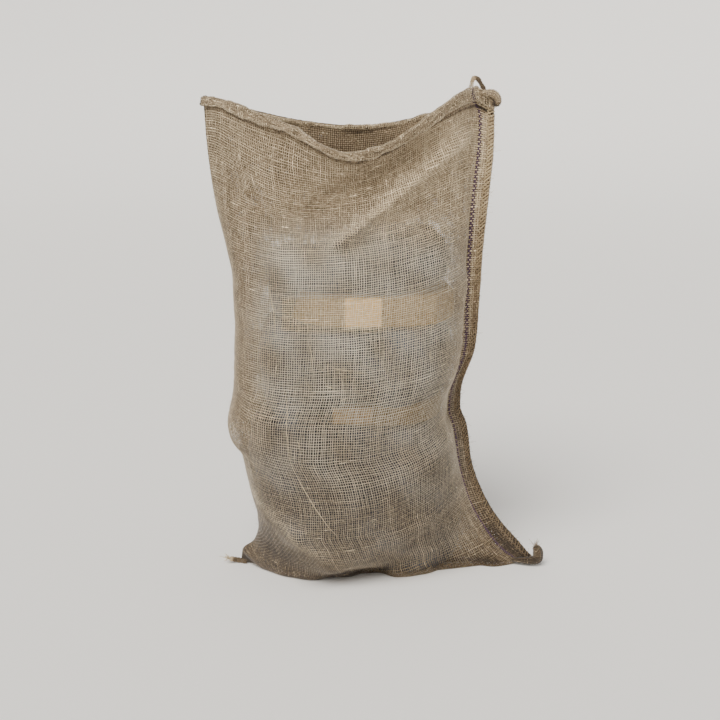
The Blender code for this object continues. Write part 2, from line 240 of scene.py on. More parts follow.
def smooth_column(name, up):
    """One column of SECTIONS at the places 'up': cubic pieces through the rows, flat at a turn."""
    knots = np.array([section.up for section in SECTIONS])
    values = np.array([getattr(section, name) for section in SECTIONS], dtype=float)
    steps = np.diff(values) / np.diff(knots)
    slopes = np.concatenate([steps[:1], 0.5 * (steps[1:] + steps[:-1]), steps[-1:]])
    slopes[1:-1][steps[1:] * steps[:-1] < 0] = 0
    i = np.clip(np.searchsorted(knots, up, side="right") - 1, 0, len(knots) - 2)
    width = knots[i + 1] - knots[i]
    f = (up - knots[i]) / width
    return (values[i] * (1 + 2 * f) * (1 - f) ** 2 + values[i + 1] * f * f * (3 - 2 * f)
            + slopes[i] * width * f * (1 - f) ** 2 - slopes[i + 1] * width * f * f * (1 - f))


def ridges(x, z, folds):
    """Sum of folds: each is its height times exp(-(distance to its run / width) squared)."""
    relief = np.zeros_like(x)
    for fold in folds:
        run_x, run_z = fold.x2 - fold.x1, fold.z2 - fold.z1
        along = np.clip(((x - fold.x1) * run_x + (z - fold.z1) * run_z) / (run_x ** 2 + run_z ** 2), 0, 1)
        distance = np.hypot(x - fold.x1 - along * run_x, z - fold.z1 - along * run_z)
        relief += fold.out * bell(distance, 0, fold.width)
    return relief


def edge_line(up):
    """The flange's outer edge at the places 'up'."""
    return np.stack([smooth_column("edge_" + axis, up) for axis in "xyz"], axis=-1)


def panel(up, across, side, layer):
    """A panel's points: a straight row from fold to flange, pushed out and dropped by a hump.

    The hump is across ** left * (1 - across) ** right, divided by its peak. The push is depth * hump, and
    the drop is droop * hump ** sag. 'layer' is how far the cloth's middle stands off the plane where front
    and back meet.
    """
    names = "fold_x", "fold_z", "seam_x", "seam_z", side + "_left", side + "_right"
    fold_x, fold_z, seam_x, seam_z, left, right = (smooth_column(name, up) for name in names)
    peak = left / (left + right)
    hump = (across / peak) ** left * ((1 - across) / (1 - peak)) ** right
    x = fold_x + (seam_x - fold_x) * across
    droop = fold_z + (seam_z - fold_z) * peak - smooth_column(side + "_z", up)
    z = fold_z + (seam_z - fold_z) * across - droop * hump ** smooth_column("sag", up)
    turned = (z + FLOOR_BLEND) ** 2 / (4 * FLOOR_BLEND)
    z = np.where(z < -FLOOR_BLEND, 0, np.where(z > FLOOR_BLEND, z, turned))
    if side == "front":
        z = z + LIFT * bell(x, LIFT_X, LIFT_WIDTH) * ease(up, 0.90, 1.0)
    out = smooth_column(side + "_y", up) * hump
    if side == "front":
        out = out + ridges(x, z, FOLDS) * np.clip(3 * hump, 0, 1) * np.clip(up / 0.05, 0, 1)
    out = np.maximum(out, 0) + layer * np.clip(up / PARTED, 0, 1) * np.clip(across / 0.02, 0, 1)
    return np.stack([x, -out if side == "front" else out, z], axis=-1)


print("the front's fullest place, mm:", panel(0.385, 0.5, "front", 0.0).round())

# %% [markdown]
# ## From a shape to a grid of crossings
#
# A weave is a grid: every place where a warp yarn crosses a weft yarn is one point. The rows are the weft,
# laid evenly from the bottom seam to the mouth, and the columns are the warp, spaced evenly along the cloth
# and not along X, because yarns keep their distance where the cloth turns a corner. Each point also gets
# three directions: across the cloth, up the cloth, and out of it.

# %% Grid sizes
CLOTH_LENGTH = 780.0    # from the bottom seam to the top of the hem
TUBE_WIDTH = 475.0      # one panel between the fold and the flange
FLANGE_WIDTH = 25.0     # both layers sewn flat, outside the tube
PITCH = 3.4             # from one yarn to the next
PICKS = round(CLOTH_LENGTH / PITCH)
TUBE_ENDS = round(TUBE_WIDTH / PITCH)
FLANGE_ENDS = round(FLANGE_WIDTH / PITCH)
LAYER = 1.0             # from the cloth's middle to its face, with both yarns on top of each other
print(PICKS, "weft yarns,", TUBE_ENDS + FLANGE_ENDS, "warp yarns in each panel")


# %% Even spacing
def between(grid, place, axis):
    """Points at 'place' along one axis, counted in crossings, on straight lines between the grid's points."""
    place = np.clip(place, 0, grid.shape[axis] - 1.001)
    low, share = place.astype(int)[..., None], (place % 1)[..., None]
    start = np.take_along_axis(grid, low, axis)
    return start + (np.take_along_axis(grid, low + 1, axis) - start) * share


def spaced(rows, count):
    """Resample each row of points at 'count' places that are the same distance apart along it."""
    steps = np.linalg.norm(np.diff(rows, axis=1), axis=2)
    length = np.concatenate([np.zeros((len(rows), 1)), np.cumsum(steps, axis=1)], axis=1)
    wanted = np.linspace(0, 1, count) * length[:, -1:]
    shift = np.arange(len(rows))[:, None] * (2 * length.max())
    found = np.searchsorted((length + shift).ravel(), (wanted + shift).ravel(), side="right") - 1
    found = found.reshape(wanted.shape) - np.arange(len(rows))[:, None] * rows.shape[1]
    found = np.clip(found, 0, rows.shape[1] - 2)
    near = np.take_along_axis(length, found, 1)
    share = (wanted - near) / (np.take_along_axis(length, found + 1, 1) - near)
    return between(rows, found + share, 1)


def cloth_grid(side, up, layer=LAYER):
    """Points of one panel, a row for each place in 'up' and a column for each warp yarn, flange included."""
    fine = 0.5 - 0.5 * np.cos(np.linspace(0, np.pi, 280))       # crowded at both ends, where the cloth turns
    tube = spaced(panel(up[:, None], fine[None, :], side, layer), TUBE_ENDS)
    sign = -1 if side == "front" else 1
    edge = edge_line(up)
    edge[:, 1] += sign * layer * np.clip(up / PARTED, 0, 1)
    share = np.linspace(0, 1, FLANGE_ENDS + 1)[1:, None]
    flange = tube[:, -1:] * (1 - share) + edge[:, None] * share
    return np.concatenate([tube, flange], axis=1)


def unit(vectors):
    """Vectors divided by their length."""
    return vectors / np.maximum(np.linalg.norm(vectors, axis=-1, keepdims=True), 1e-9)


def directions(points, side):
    """Unit vectors across, up and out of a grid: the last is the cross product of the other two."""
    across = unit(np.gradient(points, axis=1))
    upward = unit(np.gradient(points, axis=0))
    out = unit(np.cross(across, upward))
    return across, upward, out if side == "front" else -out


# %% [markdown]
# ## Small wrinkles
#
# The tables hold the main folds. Real cloth also has small ones: puckers along a seam, creases that fan out
# from where the cloth is pulled, and a slight unevenness everywhere. They are added as a push along the
# cloth's own outward direction, and they fade out at the fold, the flange and the floor, where layers must
# not cross.

# %% Wrinkles
CREST = Fold(152, 666, -34, 530, 5, 1.0)    # the tension fold's top line, where the cloth is pulled tight
CREASES = (
    CREST._replace(out=4.2),
    Fold(140, 640, 30, 560, 7, 1.8),        # fine pulls beside the tension fold
    Fold(120, 690, 20, 640, 9, -2.0),
    Fold(45, 540, 82, 563, 6, 2.4),         # arcs round the load's top right
    Fold(82, 563, 130, 535, 6, 2.4),
    Fold(50, 526, 88, 546, 6, -1.8),
    Fold(88, 546, 122, 520, 6, -1.8),
    Fold(60, 512, 94, 530, 6, 1.6),
    Fold(94, 530, 130, 470, 7, 1.8),
    Fold(-185, 660, -120, 620, 12, 2.0),
    Fold(-172, 585, -148, 618, 7, 2.8),     # a pinch at the upper left
    Fold(-148, 618, -118, 588, 7, 2.4),
    Fold(-150, 600, -138, 572, 8, -2.6),
    Fold(-120, 500, -150, 410, 12, 1.8),    # upright pulls on the left
    Fold(-165, 480, -170, 380, 9, -1.6),
    Fold(-185, 330, -135, 270, 10, 2.0),
    Fold(-190, 215, -140, 190, 9, -2.2),
    Fold(-130, 190, -60, 90, 9, 1.6),       # pulls that fan out from the lower left
    Fold(-145, 150, -80, 60, 7, -1.6),
    Fold(-100, 140, -20, 40, 9, 1.4),
    Fold(150, 120, 60, 60, 10, -1.6),
    Fold(170, 80, 90, 30, 9, 1.6),
    Fold(120, 330, 60, 320, 9, 1.3),
)


def rough_field(x, z, size, waves=14):
    """Uneven ground: a sum of sine waves of random direction, with a wavelength near 'size'."""
    field = np.zeros_like(x)
    for _ in range(waves):
        angle, phase = dice.uniform(0, np.pi), dice.uniform(0, 2 * np.pi)
        length = size * dice.uniform(0.7, 1.6)
        field += np.sin(2 * np.pi * (x * np.cos(angle) + z * np.sin(angle)) / length + phase)
    return field / np.sqrt(waves / 2)


def wrinkled(points, side):
    """Push a grid out by its small folds, seam puckers and unevenness, times a fade at its borders."""
    across, upward, out = directions(points, side)
    x, z = points[..., 0], points[..., 2]
    slide = [1.9 * rough_field(x, z, 260) + 0.45 * rough_field(x, z, 70) for _ in range(2)]
    push = 1.1 * rough_field(x, z, 95) + 0.45 * rough_field(x, z, 38)
    if side == "front":
        push = push + ridges(x, z, CREASES)
    column = np.arange(points.shape[1])
    from_seam = np.clip(TUBE_ENDS - 1 - column, 0, None) * PITCH
    puckers = np.sin(z / 6.1 + 2.2 * np.sin(z / 31)) * np.exp(-from_seam / 22)
    push = push + 1.1 * puckers
    fade = np.clip(column * PITCH / 25, 0, 1) * np.clip(from_seam / 12, 0, 1) * np.clip((z - 6) / 30, 0, 1)
    slack = fade * np.clip((730 - z) / 60, 0, 1)
    return (points + out * (push * fade)[..., None]
            + across * (slide[0] * slack)[..., None] + upward * (slide[1] * slack)[..., None])


# the two panels' yarns are half a step apart, so where both lie flat one closes the other's holes
rows_up = {"front": (np.arange(PICKS) + 0.5) / PICKS, "back": (np.arange(PICKS) + 1.0) / PICKS}
grids = {side: wrinkled(cloth_grid(side, up), side) for side, up in rows_up.items()}
for side, grid in grids.items():
    grid[..., 2] = np.maximum(grid[..., 2], 0) + 0.9 * np.exp(-grid[..., 2] / 12)     # stay off the floor
    rows = np.linalg.norm(np.diff(grid[:, :TUBE_ENDS], axis=1), axis=2).sum(axis=1)
    print(side, "weft lengths, mm:", rows.min().round(), "to", rows.max().round())

# %% [markdown]
# ## Weaving
#
# In a plain weave each yarn goes over one neighbour and under the next. Here a yarn is a ribbon with a
# ridge along its middle: three points wide, one step long for each crossing, and lifted or lowered at each
# step. That is few faces for a yarn, yet it casts real shadows and leaves real holes, through which the
# load shows. No two steps are alike: the width, the tone and the path all wander, and thick places called
# slubs are scattered through the cloth, because jute is never spun evenly.

# %% Yarn unevenness
HALF_WIDTH = 0.50       # half of a yarn's width
CRIMP = 0.46            # how far a yarn rises over, or dips under, the cloth's middle
RIDGE = 0.44            # how far its middle stands above its edges
EDGE_SHADE = np.array([0.64, 0.0, 0.64])    # how much darker a yarn is at its edges, where it turns away
Yarns = namedtuple("Yarns", "width wander tone rub")    # width factor, wander in pitches, tone, share rubbed


def drift(shape, axis, reach):
    """Random numbers that change slowly along one axis: a running mean over 'reach' steps, scaled to 1."""
    raw = dice.standard_normal(shape)
    return sum(np.roll(raw, step, axis) for step in range(reach)) / np.sqrt(reach)


def slubs(shape, axis, share, reach):
    """Short thick places: rare random seeds, each spread over 'reach' steps as a half sine."""
    seeds = (dice.random(shape) < share) * dice.uniform(0.4, 1.0, shape)
    swell = np.sin(np.linspace(0, np.pi, reach + 2)[1:-1])
    return np.minimum(sum(np.roll(seeds, step, axis) * height for step, height in enumerate(swell)), 1.0)


def uneven(shape, axis, calm=1.0):
    """Yarns that run along 'axis' of a grid, each with its own width and tone, and both drifting along it."""
    others = [1, 1]
    others[1 - axis] = shape[1 - axis]
    own = dice.standard_normal(others)
    thick = slubs(shape, axis, 0.0026, 4) + 0.5 * slubs(shape, axis, 0.0010, 14)
    pale = slubs(shape, axis, 0.0002, 60)              # a long stretch of better fibre
    width = (np.exp(0.10 * own + 0.09 * drift(shape, axis, 6) + 0.10 * dice.standard_normal(shape))
             + 0.45 * thick + 0.25 * pale)
    wander = 0.07 * drift(shape, axis, 12) + 0.055 * drift(shape, axis, 3)
    tone = (0.745 + calm * (0.025 * own + 0.015 * drift(shape, axis, 10) + 0.035 * drift(shape, axis, 3)
                            + 0.08 * dice.standard_normal(shape)) + 0.34 * thick + 0.20 * pale)
    return Yarns(width, wander, tone, np.zeros(shape))


# %% Ribbons
def ribbon_points(base, sideways, out, half_width, lift):
    """Three points at each step: left edge, ridge, right edge, as base + sideways * offset + out * height."""
    offset = np.array([-1.0, 0.0, 1.0])
    height = lift[..., None] + RIDGE * np.array([0.0, 1.0, 0.0])
    return (base[..., None, :] + sideways[..., None, :] * (half_width[..., None] * offset)[..., None]
            + out[..., None, :] * height[..., None])


def quads(*corners):
    """Quads from four arrays that hold the numbers of their corners."""
    return np.stack(corners, axis=-1).reshape(-1, 4)


def strip_faces(rows, columns, along, flip):
    """Quads of 'rows x columns x 3' points, whose ribbons run along the rows (0) or the columns (1)."""
    number = np.arange(rows * columns * 3).reshape(rows, columns, 3)
    low, high = (number[:-1], number[1:]) if along == 0 else (number[:, 1:], number[:, :-1])
    faces = quads(low[..., :-1], low[..., 1:], high[..., 1:], high[..., :-1])
    return faces[:, ::-1] if flip else faces


def make_mesh(name, points, faces, material, floats=None, maps=None):
    """One object from arrays: points in millimetres, quads, one number a point, and one UV a point."""
    mesh = bpy.data.meshes.new(name)
    mesh.vertices.add(len(points))
    mesh.vertices.foreach_set("co", (points * MM).astype(np.float32).ravel())
    mesh.loops.add(faces.size)
    mesh.loops.foreach_set("vertex_index", faces.astype(np.int32).ravel())
    mesh.polygons.add(len(faces))
    mesh.polygons.foreach_set("loop_start", np.arange(0, faces.size, faces.shape[1], dtype=np.int32))
    mesh.update(calc_edges=True)
    for label, values in (floats or {}).items():
        attribute = mesh.attributes.new(label, "FLOAT", "POINT")
        attribute.data.foreach_set("value", values.astype(np.float32).ravel())
    for label, values in (maps or {}).items():
        layer = mesh.uv_layers.new(name=label)
        layer.data.foreach_set("uv", values[faces.ravel()].astype(np.float32).ravel())
    mesh.shade_smooth()
    mesh.materials.append(material)
    thing = bpy.data.objects.new(name, mesh)
    bpy.context.scene.collection.objects.link(thing)
    return thing


def weave(name, grid, side, warp, weft, dye, frames=None):
    """Weave a grid of crossings as one mesh, warp along its columns and weft along its rows.

    A yarn's height is +crimp or -crimp, and changes sign at each crossing; warp and weft take opposite signs.
    'frames' are the grid's three directions, given where the grid is only a part of a panel.
    """
    across, upward, out = frames or directions(grid, side)
    rows, columns = grid.shape[:2]
    number = np.indices((rows, columns))
    over = np.where(number.sum(axis=0) % 2, 1, -1)
    share = np.array([0.1, 0.5, 0.9])                       # the ribbon's three points, across its width
    row, column = (index[..., None] + 0 * share for index in number)
    parts = []
    for along, yarns, beside, sign in ((0, warp, across, over), (1, weft, upward, -over)):
        crossings = between(grid, number[1 - along] + yarns.wander, 1 - along)
        points = ribbon_points(crossings, beside, out, HALF_WIDTH * yarns.width, CRIMP * sign)
        faces = strip_faces(rows, columns, along, side == "back") + along * 3 * rows * columns
        inside = (share, 0.5) if along == 0 else (0.5, share)
        bake = np.stack([0.5 * (along + (column + inside[0]) / columns), (row + inside[1]) / rows], axis=-1)
        # each yarn lies elsewhere in the fibre pattern than the yarn beside it, so no two are alike
        step, yarn, jump = (row, column, (37, 9)) if along == 0 else (column, row, (41, 7))
        fibre = np.stack([step * PITCH + jump[0] * yarn, 2 * HALF_WIDTH * share + jump[1] * yarn], axis=-1)
        dyed = np.broadcast_to(dye * (1 - along), (rows, columns))
        parts.append((points.reshape(-1, 3), faces, (yarns.tone[..., None] - EDGE_SHADE).ravel(),
                      np.repeat(dyed, 3), np.repeat(yarns.rub, 3), bake.reshape(-1, 2), fibre.reshape(-1, 2)))
    points, faces, tone, dyed, rub, bake, fibre = (np.concatenate(pair) for pair in zip(*parts))
    points[:, 2] = np.maximum(points[:, 2], 0.1)            # nothing dips into the floor
    thing = make_mesh(name, points, faces, hessian, {"tone": tone, "dye": dyed, "rubbed": rub},
                      {"OFBake": bake, "yarn": fibre})
    print(name, "has", 2 * len(faces), "triangles")
    return thing


def dress(piece, node=None):
    """Fix a piece to the sack's one body, and hide the solid it stands for."""
    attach(piece, "root")
    if node:
        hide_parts(node)


# %% [markdown]
# ## The cloth
#
# The sack is one length of cloth, folded at its left side. Its yarns are made in four meshes, two to a
# panel, so that none is too heavy to handle. The yarns run on from one mesh into the next.

# %% Where the load and its cards are
COLUMNS = TUBE_ENDS + FLANGE_ENDS
LOAD_MIDDLE = -4.0      # where the load stands, and how far it reaches to either side
LOAD_REACH = 132.0
Card = namedtuple("Card", "name trim_left trim_right lift glow finish", defaults=(None,))
CARDS = (Card("card_low", 9, 4, 5, 0.0, "card in painted shade"), Card("card_high", 6, 5, 2, 1.05, "card"))
PALE = (*CARDS, Card("paper_high", 40, 10, 0, 0.9), Card("paper_low", 60, 10, 0, 0.2))


def card_box(card):
    """A card's lowest and highest corners in mm: the solid's, trimmed at its ends and lifted a little."""
    low, high = (np.array(corner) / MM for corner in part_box(card.name))
    return low + (card.trim_left, 0, card.lift), high + (-card.trim_right, 0, card.lift)


def lit_by_card(grid):
    """Light that a pale card or paper throws back from right behind the cloth: its glow, within its box."""
    x, z = grid[..., 0], grid[..., 2]
    glow = np.zeros(x.shape)
    for card in PALE:
        low, high = card_box(card)
        glow += (ease(x, low[0] - 3, low[0] + 1) * ease(x, high[0] + 3, high[0] - 1) * card.glow
                 * ease(z, low[2] - 3, low[2] + 1) * ease(z, high[2] + 3, high[2] - 1))
    return glow


def beside_load(grid, spread):
    """How far each point is from the load's middle, less 'spread' mm near the floor, where it is wider."""
    return np.abs(grid[..., 0] - LOAD_MIDDLE) - spread * ease(grid[..., 2], 270, 150)


def from_lip(grid):
    """Distance up and right of the lip at the lower left, whose line is 0.64 x + 0.77 z = constant."""
    return 0.64 * (grid[..., 0] + 108) + 0.77 * (grid[..., 2] - 101)


# %% Fullness
# what differs between the panels: how softly the open cloth ends beside the load, how much wider it is near
# the floor, the extra width of yarns elsewhere, the width on the flange, the unevenness, and extra painted
# shade
Panel = namedtuple("Panel", "soft spread slack flange calm soil")
PANELS = {"front": Panel(15, 20, 0.42, 2.4, 1.0, 0.0), "back": Panel(42, 0, 2.0, 2.6, 0.4, 0.19)}


def fullness(side, grid, up):
    """Factor on the yarns' width: the cloth is stretched open over the load, and closer everywhere else."""
    look = PANELS[side]
    up = up[:, None]
    beside = ease(beside_load(grid, look.spread), LOAD_REACH - look.soft, LOAD_REACH + look.soft)
    slack = look.slack * np.maximum(np.maximum(ease(up, 0.70, 0.80), beside), ease(up, 0.09, 0.02))
    if side == "front":     # pushed together under the lip and along the tension fold
        slack = slack + 0.9 * ease(from_lip(grid), -2, -14)
        slack = slack + 0.75 * ridges(grid[..., 0], grid[..., 2], (CREST,))
    else:
        slack = slack + 0.3 * ease(up, 0.86, 0.92)
    return np.where(np.arange(COLUMNS) >= TUBE_ENDS, look.flange, 1.0 + slack)


# %% Soil
ToneRamp = namedtuple("ToneRamp", "darker z1 z2 x1 x2", defaults=(-999, -998))    # grows from z1 to z2, x1 to x2
# bands of darker or lighter tone, most of them painted shade
TONE_RAMPS = (
    ToneRamp(0.13, 420, 90),                       # painted shade, darker towards the floor where less light reaches, with some dirt
    ToneRamp(0.10, 150, 50, 165, 225),             # more painted shade, with some dirt, in the right ear
    ToneRamp(-0.07, 520, 600),                     # lighter above the load
    ToneRamp(-0.05, 480, 560, 60, 120),
)
PaintedSpot = namedtuple("PaintedSpot", "darker x z width height")
PAINTED_SPOTS = (
    PaintedSpot(0.32, -181, 10, 8, 9),                 # painted shade in the pocket of the left ear
    PaintedSpot(0.28, 203, 8, 20, 5),                  # painted shadow of the panel's edge beside the right ear
    PaintedSpot(-0.12, 133, 224, 9, 18),               # a painted highlight on the belly beside the seam
)


def hem_foot(x):
    """How far the hem reaches below the rim, mm: rolled wide at the seam, and narrow left of the middle."""
    return 13.0 - 4.5 * bell(x, -75, 45) - 2 * ease(-x, 90, 200) + 5.0 * (np.maximum(x, 0) / 190) ** 2


def soil(side, grid, up):
    """How much darker the cloth is: painted shade with some dirt towards the floor, in its ears, along the
    seam and inside the back, painted shadow under the lip and the hem, and painted highlight on its ridges.
    """
    x, z = grid[..., 0], grid[..., 2]
    flange, edge = (np.arange(COLUMNS) >= TUBE_ENDS + inner for inner in (0, 4))
    dirt_and_painted_light = sum(tone_ramp.darker * ease(z, tone_ramp.z1, tone_ramp.z2) * ease(x, tone_ramp.x1, tone_ramp.x2) for tone_ramp in TONE_RAMPS)
    # painted shade along the floor, with less of it low under the belly's middle
    dirt_and_painted_light = dirt_and_painted_light + 0.03 * bell(z, 0, 45) - 0.05 * bell(z, 30, 25) * ease(np.abs(x), 130, 90)
    # the flange is darker below the belly's top and at the floor, painted shade with some dirt; its outer
    # edge is darker all along
    dirt_and_painted_light = dirt_and_painted_light + 0.16 * flange * ease(z, 420, 330) + (0.16 - 0.08 * ease(z, 380, 460)) * edge
    # PANELS gives the back panel painted shade for the sack's inside, which darkens its outer face too
    dirt_and_painted_light = np.minimum(dirt_and_painted_light, 0.36) + 0.12 * flange * ease(z, 90, 20) + PANELS[side].soil
    # and more painted shade on the back below z 600, fading out towards the rim
    if side == "back":
        return dirt_and_painted_light + 0.08 * ease(z, 690, 600)
    lip = from_lip(grid)
    # painted shade under the overhanging lip at the lower left, and a painted highlight along the lip's edge
    dirt_and_painted_light = dirt_and_painted_light + 0.20 * ease(lip, -2, -10) - 0.15 * bell(lip, 3, 5) * ease(x, -30, -60)
    for painted_spot in PAINTED_SPOTS:
        dirt_and_painted_light = dirt_and_painted_light + painted_spot.darker * bell(x, painted_spot.x, painted_spot.width) * bell(z, painted_spot.z, painted_spot.height)
    below_rim = (1 - up[:, None]) * CLOTH_LENGTH - hem_foot(x) - 6.0 * ease(x, -80, 10)
    dirt_and_painted_light = dirt_and_painted_light + (0.34 + 0.24 * ease(x, -30, 30)) * bell(below_rim, 2.8, 3.2)     # painted shadow under the rolled hem
    # painted highlight on ridges and painted shade in hollows, the crest palest
    return dirt_and_painted_light - 0.010 * ridges(x, z, FOLDS + CREASES).clip(-8, 8) - 0.02 * ridges(x, z, (CREST,))


def rubbed(grid, dirt_and_painted_light):
    """Share of rubbing: most over the load, fading towards its borders, the floor, the cards, and the dirt
    and painted shade.
    """
    z = grid[..., 2]
    patchy = 0.56 * (1 + 0.22 * rough_field(grid[..., 0], z, 70))
    over_load = ease(beside_load(grid, 42), 175, 95) * ease(z, 580, 480) * ease(z, 0, 40)
    share = (patchy * over_load * (0.28 + 0.72 * ease(z, 60, 420))).clip(0, 0.85)
    return share * (1 - 0.8 * np.clip(lit_by_card(grid), 0, 1)) * np.clip(1.2 - 3 * dirt_and_painted_light, 0, 1)


# %% Four lengths of cloth
DYED = np.array([TUBE_ENDS, TUBE_ENDS + 1])     # the two dyed yarns run just outside the seam
CARRIED = 5             # yarns that the rolled hem has carried them inwards
# the seam isn't sewn dead straight along the dyed yarns: heights in mm, and their way to the right, in yarns
SWING = ((0, -2.4), (60, -1.8), (160, -0.6), (300, 0.7), (345, 1.4), (372, 1.0), (410, 0.4), (500, 0.1),
         (585, -0.4), (640, -0.4), (690, 0))
HALF = PICKS // 2
hem_marked = np.zeros(COLUMNS)
hem_marked[DYED - CARRIED] = 1.0
cloth, painted_light_and_dirt_maps = {}, {}
for side, grid in grids.items():
    up, look, frames = rows_up[side], PANELS[side], directions(grid, side)
    warp, weft = (uneven((PICKS, COLUMNS), axis, look.calm) for axis in (0, 1))
    painted_light_and_dirt_maps[side] = soil(side, grid, up)
    # yarns in front of a pale card or paper are painted lighter, for the light it throws back
    dirt_and_painted_light = painted_light_and_dirt_maps[side] - (0.24 * lit_by_card(grid) if side == "front" else 0)
    full, rub = fullness(side, grid, up), rubbed(grid, dirt_and_painted_light)
    # fuller yarns have less room to stray
    warp, weft = (yarns._replace(width=yarns.width * full, wander=yarns.wander / full, tone=yarns.tone - dirt_and_painted_light,
                                 rub=rub) for yarns in (warp, weft))
    swing = np.interp(grid[:, TUBE_ENDS, 2], *zip(*SWING)) - (CARRIED - 0.5) * ease(up, 0.955, 0.985)
    near = np.clip(1 - np.abs(np.arange(COLUMNS) - DYED.mean()) / 9, 0, 1)
    warp.wander[:] += swing[:, None] * near     # their neighbours swing with them
    warp.wander[:, DYED] += (0.15, -0.25)       # and the two lie closer together than the rest
    if side == "back":                          # where the panels meet, it lies across the front's gaps
        for yarns in (warp, weft):
            yarns.wander[:] += 0.5 * ease(np.arange(COLUMNS), TUBE_ENDS - 8, TUBE_ENDS)
    marked = np.zeros((PICKS, COLUMNS))
    marked[:, DYED[0]] = 1.0
    marked[:, DYED[1]] = ease(grid[:, DYED[1], 2], 230, 330)        # one yarn loses its dye lower down
    for level, rows in (("low", slice(0, HALF + 1)), ("high", slice(HALF, PICKS))):
        name = f"hessian_{side}_{level}"
        cloth[name] = weave(name, grid[rows], side, Yarns(*(value[rows] for value in warp)),
                            Yarns(*(value[rows] for value in weft)), marked[rows],
                            [direction[rows] for direction in frames])
        dress(cloth[name], "sack" if name == "hessian_front_low" else None)

# %% [markdown]
# ## The rolled hem
#
# Round the mouth the raw edge is turned and the cloth is rolled to the outside, so a hem has three layers
# and looks darker and closer than the rest. It is woven with the same yarns: a narrow grid follows the
# hem's own profile from its lower edge, out and up to the rim. Its thickness wavers, because it is rolled
# by hand and held by a stitch only here and there.

# %% Hem
HemRow = namedtuple("HemRow", "down outset tone")   # share of the hem's height, mm off the cloth, added tone
# the added tone is painted light: painted shadow at the tuck below the bead and at the inner end, painted
# highlight along the bead
HEM_ROWS = (
    HemRow(0.88, 0.6, -0.34), HemRow(0.98, 2.4, -0.16), HemRow(1.04, 4.6, 0.05), HemRow(0.92, 6.2, 0.09),
    HemRow(0.76, 6.2, 0.02), HemRow(0.60, 5.2, -0.07), HemRow(0.44, 4.6, -0.09), HemRow(0.28, 4.4, -0.08),
    HemRow(0.12, 4.2, -0.06), HemRow(-0.03, 2.6, -0.02), HemRow(-0.06, 0.4, 0.00), HemRow(0.00, -1.4, 0.03),
    HemRow(0.16, -2.2, 0.04), HemRow(0.36, -2.0, 0.02), HemRow(0.50, -1.2, -0.08),
)
LUMPS = ((97, 0.40), (53, 0.35), (29, 0.30), (15, 0.10))    # waves along the hem: length in mm, and height


def hem_grid(side):
    """Points of the hem: the rim's row, moved down and out by HEM_ROWS, times a thickness that wavers."""
    down, outset, _ = (np.array(column)[:, None] for column in zip(*HEM_ROWS))
    rim = cloth_grid(side, 1 - np.arange(12)[::-1] * 0.002)
    _, upward, out = directions(rim, side)
    depth = down * hem_foot(rim[-1, :, 0])
    place = np.arange(COLUMNS) * PITCH
    lumps = sum(height * np.sin(2 * np.pi * place / length + dice.uniform(0, 2 * np.pi))
                for length, height in LUMPS)
    lumps *= ease(place, 0, 20)         # none at the fold, where front and back meet
    levels = cloth_grid(side, 1 - np.arange(25) / CLOTH_LENGTH)     # a row for each millimetre below the rim
    base = between(levels, np.maximum(depth, 0), 0)
    swell = np.where(down < 0.3, 2.4 * np.maximum(lumps, -0.2), -1.6 * lumps * (down > 0.7))
    rise, thick = np.maximum(-depth, 0) + swell, outset * (1 + 0.30 * lumps)
    return base + rise[..., None] * upward[-1] + thick[..., None] * out[-1]


HEM_WARP, HEM_WEFT = 1.9, 1.6       # three layers lie on each other, so the yarns leave no holes
hems = {}
hem_painted_light = np.array([row.tone for row in HEM_ROWS])[:, None] + 0.03
for side in ("front", "back"):
    grid = hem_grid(side)
    warp, weft = (uneven(grid.shape[:2], axis) for axis in (0, 1))
    speckle = 0.14 * dice.standard_normal(grid.shape[:2])
    hems[side] = weave(f"hem_{side}", grid, side,
                       warp._replace(width=HEM_WARP * warp.width, tone=warp.tone + hem_painted_light + speckle),
                       weft._replace(width=HEM_WEFT * weft.width, tone=weft.tone + hem_painted_light - speckle),
                       hem_marked)
    dress(hems[side])

# %% [markdown]
# ## The overlocked edge
#
# The open side is closed by an overlock: a twine that goes over the raw edge again and again and locks
# along an inner line. On the face it shows as slanted strokes with a short stroke back at their inner ends.
# One function makes round tubes along many paths at once, so the whole seam is a single array.


